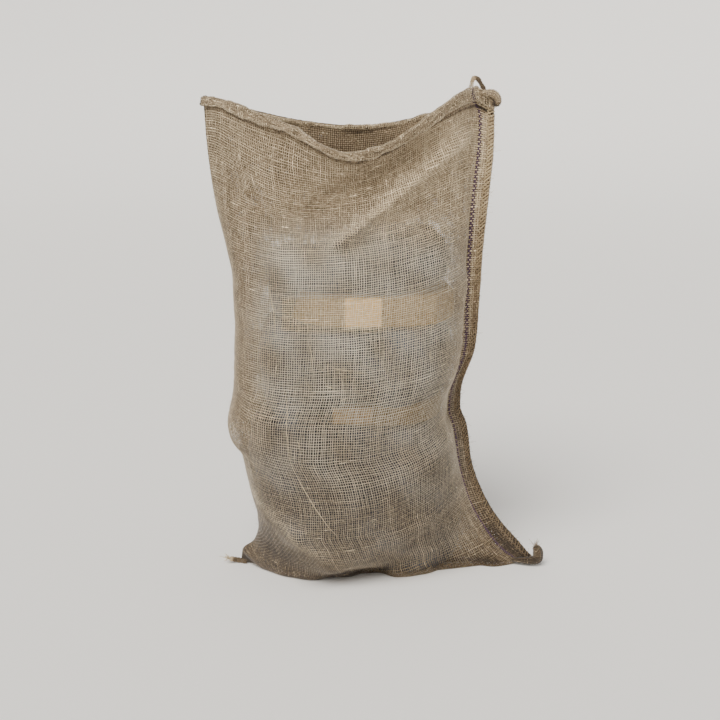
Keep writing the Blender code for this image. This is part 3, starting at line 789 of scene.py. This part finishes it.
# %% Tubes
def tube_mesh(name, paths, radius, material, tone, helper=(0, 0, 1), sides=6):
    """Tubes along paths x steps x 3 points: a ring is path + radius * (cos * beside + sin * upright).

    'beside' is square to the path and to 'helper', which no path may follow.
    """
    count, steps = paths.shape[:2]
    along = unit(np.gradient(paths, axis=1))
    beside = unit(np.cross(along, np.array(helper, dtype=float)))
    upright = np.cross(beside, along)
    angle = np.linspace(0, 2 * np.pi, sides, endpoint=False)
    radius = np.broadcast_to(radius, (count, steps))[..., None, None]
    rings = (paths[:, :, None] + radius * (np.cos(angle)[:, None] * beside[:, :, None]
                                           + np.sin(angle)[:, None] * upright[:, :, None]))
    rings[..., 2] = np.maximum(rings[..., 2], 0.2)      # nothing dips into the floor
    number = np.arange(count * steps * sides).reshape(count, steps, sides)
    low, high = number[:, :-1], number[:, 1:]
    walls = quads(low, high, np.roll(high, -1, 2), np.roll(low, -1, 2))
    caps = [ends[:, [0, first + 1, first + 2, first + 3]] for ends in (number[:, 0], number[:, -1, ::-1])
            for first in range(0, sides - 3, 2)]
    faces = np.concatenate([walls, *caps])
    path_number, step, side = np.indices((count, steps, sides))
    bake = np.stack([(step + 0.5) / steps, (path_number + (side + 0.5) / sides) / count], axis=-1)
    length = np.linalg.norm(np.diff(paths, axis=1), axis=2).mean()
    yarn = np.stack([step * length + 31 * path_number, side * 0.6 + 5 * path_number], axis=-1)
    tone = np.broadcast_to(tone, (count, steps))[..., None] * np.ones(sides)
    thing = make_mesh(name, rings.reshape(-1, 3), faces, material,
                      {"tone": tone, "dye": 0 * tone, "rubbed": 0 * tone},
                      {"OFBake": bake.reshape(-1, 2), "yarn": yarn.reshape(-1, 2)})
    print(name, "has", 2 * len(faces), "triangles")
    return thing


# %% Overlock stitches
# sewing twine is spun of three plies, so it is rounder, cleaner and more even than the cloth's own yarn
TWINE_SHADES = ((0.0, "#7A6446"), (0.4, "#AD9773"), (0.7, "#CDB994"), (1.0, "#EADCBC"))
twine = make_jute("jute twine, three plies", TWINE_SHADES)
STITCH = 5.9            # from one stitch to the next
BITE = 9.5              # how far in from the edge the needle goes
RISE = 9.0              # how far a stroke climbs along the edge on its way over it
LOCK_RISE = 4.2         # and how far its short stroke goes back down
TWINE_RADIUS = 0.95


def flange_point(height, inward, off):
    """A place on the flange: 'height' mm along the cloth, 'inward' from its edge, 'off' from its middle."""
    up = np.clip(height / CLOTH_LENGTH, 0, 1)
    edge = edge_line(up)
    seam = np.stack([smooth_column("seam_x", up), 0 * up, smooth_column("seam_z", up)], axis=-1)
    share = (inward / FLANGE_WIDTH)[..., None]
    return edge + (seam - edge) * share + np.stack([0 * up, off, 0 * up], axis=-1)


Stroke = namedtuple("Stroke", "climb inward off")      # shares of its rise and bite, and mm off the flange
WRAP = Stroke((0.0, 0.28, 0.62, 0.9, 1.0, 0.95, 0.6, 0.25, 0.0),
              (1.0, 0.72, 0.36, 0.06, -0.1, 0.06, 0.4, 0.75, 1.0),
              (-1.9, -2.7, -2.9, -2.3, 0.0, 2.3, 2.9, 2.7, 1.9))
LOCK = Stroke((0.0, -0.3, -0.65, -1.0), (1.02, 0.9, 0.75, 0.58), (-1.9, -2.8, -2.8, -2.0))


def stroke_paths(stroke, start, rise, bite):
    """A stroke from each start: start + rise * climb up the flange, and bite * inward from its edge."""
    climb, inward, off = (np.array(column) for column in stroke)
    return flange_point(start + rise * climb, bite * inward, off * np.ones_like(start))


count = int((CLOTH_LENGTH - 12) / STITCH)
start = 6 + STITCH * np.arange(count)[:, None] + dice.normal(0, 0.5, (count, 1))
bite = BITE + dice.normal(0, 0.6, (count, 1))
rise = RISE + dice.normal(0, 0.7, (count, 1))
wraps, locks = stroke_paths(WRAP, start, rise, bite), stroke_paths(LOCK, start, LOCK_RISE, bite)
clean_and_lit = ease(wraps[:, :1, 2], 380, 620)         # lower down the twine is darker, with dirt and painted shade behind the belly, and sunk into the edge
wear_and_shade = 0.02 + 0.50 * clean_and_lit + 0.09 * dice.standard_normal((count, 1))
thickness = TWINE_RADIUS * (0.5 + 0.5 * clean_and_lit)
dress(tube_mesh("overlock_strokes", wraps, thickness, twine, wear_and_shade))
dress(tube_mesh("overlock_locks", locks, 0.8 * thickness, twine, wear_and_shade))

# %% [markdown]
# ## Loose ends
#
# An overlock ends in a tail, a short plait of its own three threads, because the machine goes on sewing
# past the cloth. A flat plait is three paths that swing from side to side as sin(t) and from front to back
# as sin(2 t), each a third of a turn behind the last. Where the corners of the cloth roll up, the same
# weaving function covers a bent tube.


# %% Routes, plaits and rolled corners
def smooth_route(points, count):
    """A smooth curve through points: between each two, the Catmull-Rom cubic with their neighbours."""
    points = np.array(points, dtype=float)
    padded = np.concatenate([[2 * points[0] - points[1]], points, [2 * points[-1] - points[-2]]])
    at = np.linspace(0, len(points) - 1, count)
    i = np.minimum(at.astype(int), len(points) - 2)
    t = (at - i)[:, None]
    before, start, end, after = (padded[i + step] for step in range(4))
    return 0.5 * (2 * start + (end - before) * t + (2 * before - 5 * start + 4 * end - after) * t ** 2
                  + (3 * start - before - 3 * end + after) * t ** 3)


def plait(route, width, turns):
    """Three paths round a route: width * sin(t) sideways and 0.45 * width * sin(2 t) in depth."""
    along = unit(np.gradient(route, axis=0))
    depth = np.array([0.0, 1.0, 0.0])
    sideways = unit(np.cross(along, depth))
    angle = np.linspace(0, 2 * np.pi * turns, len(route)) + 2 * np.pi / 3 * np.arange(3)[:, None]
    return (route + width * np.sin(angle)[..., None] * sideways
            + 0.45 * width * np.sin(2 * angle)[..., None] * depth)


def fray(end, heading, count, length, spread):
    """Short hairs from one point: each bends away from 'heading' as the square of its length."""
    share = np.linspace(0, 1, 5)[:, None]
    stray = spread * dice.standard_normal((count, 1, 3))
    reach = length * dice.uniform(0.4, 1.0, (count, 1, 1))
    start = end + 1.2 * dice.standard_normal((count, 1, 3))
    return start + reach * (share * heading + share ** 2 * stray)


def rolled_grid(route, radii, around):
    """A tube's points: closed rings, square to the route, each with its own radius."""
    along = unit(np.gradient(route, axis=0))
    first = unit(np.cross(np.array([0.0, 1.0, 0.0]), along))
    second = np.cross(along, first)
    angle = np.linspace(0, 2 * np.pi, around + 1)
    ring = np.cos(angle)[:, None] * first[:, None] + np.sin(angle)[:, None] * second[:, None]
    return route[:, None] + radii[:, None, None] * ring


# %% Tails
Tail = namedtuple("Tail", "name start steps width turns fray_length tone")
SEAM_TOP = (smooth_column("seam_x", 1.0) + 10, 0, smooth_column("seam_z", 1.0))
FOLD_FOOT = (smooth_column("fold_x", 0.0) - 0.5, 0, 2.5)
TAILS = (
    Tail("tail_mouth", SEAM_TOP, ((5, -2, -22), (3, -1, -11), (1, 0, -2), (-3, -1, 5), (-7, -2, 11),
                                  (-10.5, -2, 13.5), (-14.5, -3, 12.5), (-16, -3, 8)), 1.7, 4.5, 8, 0.16),
    Tail("tail_left", FOLD_FOOT, ((8, -2, 1), (-3, 1, 2), (-9, 1, 3), (-14, -1, 5), (-18, -2, 6)),
         2.8, 3.5, 9, 0.20),
)
STEPS = np.arange(48)
THREAD = 1.7 + 0.35 * np.sin(STEPS / 1.9)       # radius of a plait's thread, which is thick and thin in turns
for tail in TAILS:
    route = smooth_route(np.array(tail.start) + tail.steps, len(STEPS))
    fading = tail.tone + 0.42 * ease(STEPS, 30, 42)         # the tip is frayed, and so paler
    piece = tube_mesh(tail.name.replace("tail", "plaited_tail"), plait(route, tail.width, tail.turns),
                      THREAD, hessian, fading, (0, 1, 0))
    hairs = tube_mesh(tail.name.replace("tail", "frayed_end"),
                      fray(route[-1], unit(route[-1] - route[-4]), 26, tail.fray_length, 0.45),
                      0.34, hessian, tail.tone + 0.5, (0, 1, 0))
    dress(piece, tail.name)
    dress(hairs)

# %% Rolled corners
Roll = namedtuple("Roll", "name up steps radius_at radii darker")      # 'darker' has a number for each ring
# 'darker' is painted shade: on the ear, which lies in the belly's shadow, with some dirt, and where the hem's
# end curls under
ROLLS = (
    Roll("rolled_ear", 0.0, ((-46, -4, 5), (-30, -8, 6), (-16, -10, 6), (-5, -10, 8), (-3, -9, 13),
                             (-3, -8, 21), (-6, -7, 28)),
         (0, 0.25, 0.6, 0.85, 1), (2.0, 5.0, 8.0, 7.5, 5.5), np.linspace(0.52, 0.38, 22)),
    Roll("rolled_hem_end", 1.0, ((-16, -4, 7), (-9, -5, 8), (-2, -6, 7), (3, -6, 3), (5, -6, -3),
                                 (3, -6, -7), (-2, -6, -6)),
         (0, 0.3, 0.8, 1), (4.0, 5.2, 4.8, 3.4), 0.5 * ease(np.arange(17), 10, 15)),
)
for roll in ROLLS:
    rings = len(roll.darker)
    route = smooth_route(edge_line(roll.up) + roll.steps, rings)
    grid = rolled_grid(route, np.interp(np.linspace(0, 1, rings), roll.radius_at, roll.radii), 10)
    grid[..., 2] = np.maximum(grid[..., 2], 1.4)        # it lies flat where it meets the floor
    warp, weft = (uneven(grid.shape[:2], axis) for axis in (0, 1))
    darker = roll.darker[:, None]
    piece = weave(roll.name, grid, "front", warp._replace(width=2.6 * warp.width, tone=warp.tone - darker),
                  weft._replace(width=2.0 * weft.width, tone=weft.tone - darker), 0)
    dress(piece, "tail_right" if roll.name == "rolled_ear" else None)
    if roll.name == "rolled_ear":
        hairs = fray(route[-1], np.array([-0.3, 0.0, 1.0]), 40, 9, 0.5)
        # the ear's hairs are darker, as the rolled ear
        dress(tube_mesh("frayed_end_ear", hairs, 0.22, hessian, 0.36, (0, 1, 0)))

# %% [markdown]
# ## Loose fibres
#
# Jute is a hairy yarn. Fine fibres stand off the cloth everywhere, most of all along the seam and the hem,
# and they blur the outline a little. Each one starts on a crossing, leaves it at random, and bends as it
# goes. Here and there a longer end of pale fibre has come loose and lies on the cloth.

# %% Fuzz
HAIRS = 2600            # on each panel
SEAM_HAIRS = 900
HAIR_RADIUS = 0.13
HAIR_LENGTH = 6.5       # of the longest


def fibre_paths(start, outward, spread, length):
    """Paths of three points: start + reach * (t * heading + t ** 2 * bend), with t = 0, 1/2, 1."""
    count = len(start)
    share = np.array([0.0, 0.5, 1.0])[:, None]
    heading = unit(outward + spread * dice.standard_normal((count, 3)))
    bend = 0.5 * dice.standard_normal((count, 1, 3))
    reach = length * dice.uniform(0.35, 1.0, (count, 1, 1)) ** 2
    return start[:, None] + reach * (share * heading[:, None] + share ** 2 * bend)


def fuzz(name, paths, tone):
    """Fine fibres as thin four-sided tubes."""
    dress(tube_mesh(name, paths, HAIR_RADIUS, hessian, tone, (0.3, 0.9, 0.2), sides=4))


for side, grid in grids.items():
    row, column = dice.integers(2, PICKS - 2, HAIRS), dice.integers(2, COLUMNS - 1, HAIRS)
    outward = directions(grid, side)[2][row, column]
    fuzz(f"fibres_{side}", fibre_paths(grid[row, column] + outward, 0.5 * outward, 0.9, HAIR_LENGTH),
         0.72 - painted_light_and_dirt_maps[side][row, column][:, None])
heights = dice.uniform(0, CLOTH_LENGTH, SEAM_HAIRS)
starts = flange_point(heights, dice.uniform(-0.5, 3.0, SEAM_HAIRS), dice.uniform(-2.0, 2.0, SEAM_HAIRS))
# the seam's fibres are darker lower down, as the twine: painted shade behind the belly, with dirt
fuzz("fibres_seam", fibre_paths(starts, np.array([0.8, 0.0, 0.1]), 0.6, HAIR_LENGTH),
     0.60 - 0.3 * ease(starts[:, None, 2], 500, 200))

# %% Stray ends
Stray = namedtuple("Stray", "x1 z1 x2 z2 bend")      # between two places on the front, bent by some yarns
STRAYS = [Stray(-109, 325, -102, 218, 1.0), Stray(-102, 224, -34, 102, -4), Stray(-128, 470, -120, 400, 1),
          Stray(-73, 390, -68, 350, 0.5), Stray(-40, 357, -10, 353, -1)]
for _ in range(12):
    x, z = dice.uniform(-140, 120), dice.uniform(70, 560)
    turn = dice.choice([0.0, np.pi / 2]) + dice.normal(0, 0.10)
    reach = dice.uniform(8, 22)
    STRAYS.append(Stray(x, z, x + reach * np.cos(turn), z + reach * np.sin(turn), dice.normal(0, 0.4)))
front = grids["front"]
front_out = directions(front, "front")[2]


def crossing_near(x, z):
    """Row and column of the front's crossing that is nearest to a place in mm."""
    distance = np.hypot(front[..., 0] - x, front[..., 2] - z)
    return np.array(np.unravel_index(distance.argmin(), distance.shape))


def stray_path(stray, count=40):
    """A path over the front's crossings: straight in rows and columns, plus bend * sin(pi t) columns."""
    t = np.linspace(0, 1, count)
    start, end = crossing_near(stray.x1, stray.z1), crossing_near(stray.x2, stray.z2)
    row, column = (start[:, None] + (end - start)[:, None] * t)
    column = np.clip(column + stray.bend * np.sin(np.pi * t), 0, COLUMNS - 2)
    rows = between(front, row[:, None] + np.zeros(COLUMNS), 0)
    return between(rows, column[:, None], 1)[:, 0] + 1.3 * front_out[row.astype(int), column.astype(int)]


strays = np.array([stray_path(stray) for stray in STRAYS])
tapered = 0.40 * np.sin(np.linspace(0.25, np.pi - 0.25, 40))
dress(tube_mesh("stray_ends", strays, tapered, hessian, 0.78, (0.3, 0.9, 0.2)))

# %% [markdown]
# ## The load
#
# Three soft packs in dark film stand on each other inside the sack, with a layer of kraft paper between
# each two and a blank card on the front of each paper layer. They are closed rounds: an outline that is a
# superellipse, |x / a| ** n + |y / b| ** n = 1, drawn up ring by ring. Film is thin and stiff, so it shows
# sharp little creases where it is drawn together at the top and the bottom, and those are pushed into the
# mesh.

# %% Sizes of the load
# bulge: of its sides. foot and shoulder: how its lower and upper edges are rounded. lean: how much lower it
# is on the left. skirt: where film hangs down over the layer below, from one x to another, and how far.
Layer = namedtuple("Layer", "name top width depth x y bulge foot_inset foot_rise shoulder lean skirt finish")
LAYERS = (
    Layer("pack_low", 262, 330, 224, -6, 2, 6, 26, 60, 26, 0, (), "film"),
    Layer("paper_low", 291, 200, 198, 24, 0, 1, 8, 8, 8, 0, (), "kraft in painted shade"),
    Layer("pack_mid", 408, 284, 210, -6, -1, 6, 26, 26, 26, 0, (-40, -22, 34), "film"),
    Layer("paper_high", 453, 240, 184, 18, -2, 1, 8, 8, 8, 0, (), "kraft"),
    Layer("pack_top", 538, 266, 184, -4, -4, 5, 26, 26, 26, 34, (-104, -84, 46), "film"),
)
LOAD_TURN = np.radians(2)
SQUARENESS = 2.6
FLOOR_OF_LOAD = 2.8     # the cloth's thickness and a little air
AIR = 5.0               # from the film to the middle of the cloth, at least
GAP = 0.3               # from one layer of the load to the next
MEAN_RADIUS = 130       # of a pack
SIDES = 180


# %% Room inside the cloth
CELL = 3.0              # a map of how deep the sack is, in cells of this many millimetres
MAP_LEFT, MAP_SIZE = -240.0, (180, 260)


def depth_map(side):
    """Depth of one panel at each cell of X and Z: that of the deepest of its points that fall in the cell."""
    up, across = np.linspace(0, 1, 900), 0.5 - 0.5 * np.cos(np.linspace(0, np.pi, 700))
    points = panel(up[:, None], across[None, :], side, 0.0).reshape(-1, 3)
    depth = np.zeros(MAP_SIZE)
    cells = ((points[:, 0] - MAP_LEFT) / CELL).astype(int), (np.maximum(points[:, 2], 0) / CELL).astype(int)
    np.maximum.at(depth, cells, np.abs(points[:, 1]))
    # the least of three places across, because the load has width too
    return np.min([np.roll(depth, step, 0) for step in (-3, 0, 3)], axis=0)


depths = {side: depth_map(side) for side in ("front", "back")}


def kept_inside(points, axis):
    """Draw points in towards an upright axis until they are inside the cloth, on level rays of 64 steps."""
    offset = (points - (*axis, 0)) * (1, 1, 0)
    share = np.linspace(1, 0, 64)
    ray = points[..., None, :] - offset[..., None, :] * (1 - share)[:, None]
    column = np.clip(((ray[..., 0] - MAP_LEFT) / CELL).astype(int), 0, MAP_SIZE[0] - 1)
    level = np.clip((ray[..., 2] / CELL).astype(int), 0, MAP_SIZE[1] - 1)
    room = np.where(ray[..., 1] < 0, depths["front"][column, level], depths["back"][column, level])
    inside = np.abs(ray[..., 1]) + AIR < room
    best = share[np.argmax(inside, axis=-1)]
    for _ in range(3):                                  # soften the steps between neighbours
        best = np.minimum(best, (np.roll(best, 1, 1) + best + np.roll(best, -1, 1)) / 3)
    return points - offset * (1 - best)[..., None]


print("deepest room:", {side: float(depth.max().round()) for side, depth in depths.items()})


# %% Finishes of the load
def make_film():
    """Dark polythene film, blown: smooth, a soft gloss, and faint cloudy differences in depth of colour,
    whose palest patches are partly a painted highlight.
    """
    # a noise pattern's scale is 1 over its size in metres: clouds some 70 mm wide, and creases some 18 mm
    material, shader = new_material("dark polythene film, blown", 0.48, {"Specular IOR Level": 0.3})
    place = add(material, "TexCoord").outputs["Object"]
    clouds = add(material, "TexNoise", {"Scale": 14.0, "Detail": 3.0}, Vector=place)
    colour = add(material, "ValToRGB", {"stops": ((0.3, "#12161C"), (0.55, "#222832"), (0.8, "#4C5665"))},
                 Fac=clouds.outputs["Fac"])
    creases = add(material, "TexNoise", {"Scale": 55.0, "Detail": 4.0, "Roughness": 0.7}, Vector=place)
    bump = add(material, "Bump", {"Strength": 0.5, "Distance": 0.002}, Height=creases.outputs["Fac"])
    wire(material, shader, Base_Color=colour.outputs["Color"], Normal=bump.outputs["Normal"])
    return material


def make_paper(name, dark, light, ply=0.0):
    """Kraft paper or card, pressed from brown pulp: matt, with specks, and lines where 'ply' layers show."""
    # specks some 4 mm wide, coarser than real ones so that they show, and plies 2 pi / (20 * ply) m apart
    material, shader = new_material(name, 0.88, {"Specular IOR Level": 0.3})
    place = add(material, "TexCoord").outputs["Object"]
    specks = add(material, "TexNoise", {"Scale": 260.0, "Detail": 3.0}, Vector=place)
    colour = add(material, "ValToRGB", {"stops": ((0.35, dark), (0.7, light))}, Fac=specks.outputs["Fac"])
    relief = specks.outputs["Fac"]
    if ply:
        relief = add(material, "TexWave", {"wave_type": "BANDS", "bands_direction": "Z", "Scale": ply,
                                           "Distortion": 1.2}, Vector=place).outputs["Fac"]
    bump = add(material, "Bump", {"Strength": 0.4, "Distance": 0.0008}, Height=relief)
    wire(material, shader, Base_Color=colour.outputs["Color"], Normal=bump.outputs["Normal"])
    return material


# the lower paper and card are darker copies of the upper ones: painted shade deeper in the sack
finishes = {"film": make_film(),
            "kraft": make_paper("kraft paper, machine finished", "#8A7048", "#B69A6C", 90.0),
            "kraft in painted shade": make_paper("kraft paper in painted shade", "#57462D", "#7C6643", 90.0),
            "card": make_paper("board faced with kraft", "#E3B46A", "#F0CB88"),
            "card in painted shade": make_paper("board faced with kraft, dusty", "#7E6443", "#A0845B")}
print("finishes:", list(finishes))


# %% Rounds
def round_points(layer, bottom):
    """Rings x sides x 3: a superellipse for each (rise, inset, size) of a profile, turned with the load."""
    arc, wall, shrink = np.linspace(0, np.pi / 2, 9), np.linspace(0, 1, 14)[1:-1], np.linspace(0, 1, 12)[:-1]
    height, whole = layer.top - bottom, 0 * arc + 1
    wall_rise = layer.foot_rise + (height - layer.shoulder - layer.foot_rise) * wall
    profile = np.concatenate([
        np.stack([0 * shrink, 0 * shrink + layer.foot_inset, shrink], axis=-1),
        np.stack([layer.foot_rise * (1 - np.cos(arc)), layer.foot_inset * (1 - np.sin(arc)), whole], axis=-1),
        np.stack([wall_rise, -layer.bulge * np.sin(np.pi * wall), 0 * wall + 1], axis=-1),
        np.stack([height - layer.shoulder * (1 - np.cos(arc)), layer.shoulder * (1 - np.sin(arc)), whole],
                 axis=-1)[::-1],
        np.stack([height + 0 * shrink, 0 * shrink + layer.shoulder, shrink], axis=-1)[::-1]])
    rise, inset, size = profile.T[:, :, None]
    angle = np.linspace(0, 2 * np.pi, SIDES, endpoint=False)
    x, y = ((reach / 2 - inset) * np.sign(wave) * np.abs(wave) ** (2 / SQUARENESS)
            for reach, wave in ((layer.width, np.cos(angle)), (layer.depth, np.sin(angle))))
    cos, sin = np.cos(LOAD_TURN), np.sin(LOAD_TURN)
    return np.stack([(x * cos - y * sin) * size, (x * sin + y * cos) * size, bottom + rise + 0 * x], axis=-1)


def creased(points, layer, angle, radius, rise):
    """Film drawn together at top and bottom: pleats and dents pull it in, and its skirt hangs unevenly."""
    pleats = np.abs(np.sin(17 * angle + 3 * np.sin(3 * angle))) * (bell(rise, 1, 0.2) + bell(rise, 0, 0.2))
    dents = rough_field(60 * angle + 0.3 * radius, points[..., 2], 46) * 0.8
    drawn = 1 - (1.1 + 2.0 * pleats + dents.clip(-1, 1.5)) / MEAN_RADIUS
    points[..., :2] = (layer.x, layer.y) + (points[..., :2] - (layer.x, layer.y)) * drawn[..., None]
    rim = ease(radius, 70, 110)
    around = 85 * angle
    skirt = np.maximum(rough_field(around, 0 * angle, 130) + 0.5 * rough_field(around, 0 * angle, 40), -0.8)
    if layer is not LAYERS[0]:                      # the lowest pack stands on the floor
        points[..., 2] -= 8 * (skirt + 0.3) * rim * bell(rise, 0, 0.25)
    points[..., 2] += 6 * skirt * rim * bell(rise, 1, 0.25)
    if layer.skirt:                                 # and on the left it hangs right down over the paper
        start, end, drop = layer.skirt
        points[..., 2] -= drop * ease(points[..., 0], end, start) * bell(rise, 0, 0.3) * rim
    return points


def make_round(layer, bottom):
    """Points and quads of one layer of the load, closed at both poles, creased where it is a pack."""
    points = round_points(layer, bottom)
    radius = np.linalg.norm(points[..., :2], axis=-1)
    angle = np.arctan2(points[..., 1], points[..., 0])
    rise = (points[..., 2] - bottom) / (layer.top - bottom)
    points = kept_inside(points + (layer.x, layer.y, 0), (layer.x, layer.y))
    if layer.finish == "film":
        points = creased(points, layer, angle, radius, rise)
    points[..., 2] -= layer.lean * ease(-points[..., 0], -60, 110) * rise ** 2
    number = np.arange(points.size // 3).reshape(-1, SIDES)
    number[0], number[-1] = number[0, 0], number[-1, 0]
    low, high = number[:-1], number[1:]
    return points.reshape(-1, 3), quads(low, np.roll(low, -1, 1), np.roll(high, -1, 1), high)


def close_poles(thing):
    """Merge the points at the two poles, where a whole ring has shrunk to one place."""
    mesh = bmesh.new()
    mesh.from_mesh(thing.data)
    bmesh.ops.remove_doubles(mesh, verts=mesh.verts, dist=0.00001)
    mesh.to_mesh(thing.data)
    mesh.free()


bottom = FLOOR_OF_LOAD
for layer in LAYERS:
    points, faces = make_round(layer, bottom)
    piece = make_mesh(layer.name.replace("_", "_round_"), points, faces, finishes[layer.finish])
    close_poles(piece)
    dress(piece, layer.name)
    print(piece.name, len(piece.data.vertices), "points")
    bottom = layer.top + GAP

# %% Cards
CARD_ROWS, CARD_COLUMNS = 9, 15
HALF_CARD = 0.4         # half of a card's thickness


def card_points(low, high):
    """Both faces of a card: flat in its box, bowed forwards as sin across it, with a corner lifted."""
    u, v = np.meshgrid(np.linspace(0, 1, CARD_COLUMNS), np.linspace(0, 1, CARD_ROWS))
    x, z = low[0] + (high[0] - low[0]) * u, low[2] + (high[2] - low[2]) * v
    bow = 0.5 * np.sin(np.pi * u) + 0.9 * np.clip(u + v - 1.5, 0, 1)
    turn = np.tan(LOAD_TURN) * (x - x.mean())
    middle = 0.5 * (low[1] + high[1]) + turn - bow
    return np.stack([np.stack([x, middle + face, z], axis=-1) for face in (-HALF_CARD, HALF_CARD)])


def card_faces():
    """Quads of the front, the back turned round, and the rim that joins them."""
    number = np.arange(2 * CARD_ROWS * CARD_COLUMNS).reshape(2, CARD_ROWS, CARD_COLUMNS)
    front, back = (quads(face[:-1, :-1], face[:-1, 1:], face[1:, 1:], face[1:, :-1]) for face in number)
    loops = [np.concatenate([face[0, :-1], face[:-1, -1], face[-1, :0:-1], face[:0:-1, 0]])
             for face in number]
    return np.concatenate([front, back[:, ::-1], quads(*loops, *(np.roll(loop, -1) for loop in loops[::-1]))])


for card in CARDS:
    low, high = card_box(card)
    piece = make_mesh(card.name.replace("_", "_blank_"), card_points(low, high).reshape(-1, 3), card_faces(),
                      finishes[card.finish])
    dress(piece, card.name)
    print(piece.name, "is", (high - low).round(1), "mm")

# %% [markdown]
# ## Floor and light
#
# A pale sweep, flat under the sack and curving up far away on all sides, shows no horizon from anywhere. It
# is a profile turned round the Z axis. The light is soft, from above and in front, because hard light would
# turn the holes in the weave into a pattern of dots on the load.

# %% Sweep
SWEEP = ((0.0, 0.0), (3.0, 0.0), (6.0, 0.0), (7.5, 0.3), (8.9, 1.1), (9.7, 2.5), (10.0, 4.0), (10.0, 5.5))


def turned(profile, sides):
    """Points and quads of a profile turned about Z: (radius cos a, radius sin a, height)."""
    radius, height = np.array(profile).T[..., None]
    angle = np.linspace(0, 2 * np.pi, sides, endpoint=False)
    points = np.stack([radius * np.cos(angle), radius * np.sin(angle), height + 0 * angle], axis=-1)
    number = np.arange(points.size // 3).reshape(len(radius), sides)
    number[0] = 0
    low, high = number[:-1], number[1:]
    return points.reshape(-1, 3), quads(low, np.roll(low, -1, 1), np.roll(high, -1, 1), high)[:, ::-1]


points, faces = turned(SWEEP, 96)
sweep_paint, _ = new_material("pale matt paint", 0.95, {"Base Color": linear("#F3F2F0")})
sweep = make_mesh("studio_sweep", points / MM, faces, sweep_paint)
close_poles(sweep)
print("the sweep is", 2 * SWEEP[-1][0], "m across")

# %% Light
sun = bpy.data.lights.new("soft_key", "SUN")
sun.energy = 3.8
sun.angle = np.radians(35)
sun.color = linear("#FFFAF2")[:3]
key = bpy.data.objects.new("soft_key", sun)
key.rotation_euler = Vector((0.34, 0.62, -1.0)).to_track_quat("-Z", "Y").to_euler()
bpy.context.scene.collection.objects.link(key)
world = bpy.data.worlds.new("studio")
world.use_nodes = True
world.node_tree.nodes["Background"].inputs["Color"].default_value = linear("#F6F6F6")
world.node_tree.nodes["Background"].inputs["Strength"].default_value = 0.42
bpy.context.scene.world = world
print("the key light is", round(float(np.degrees(sun.angle))), "degrees wide")
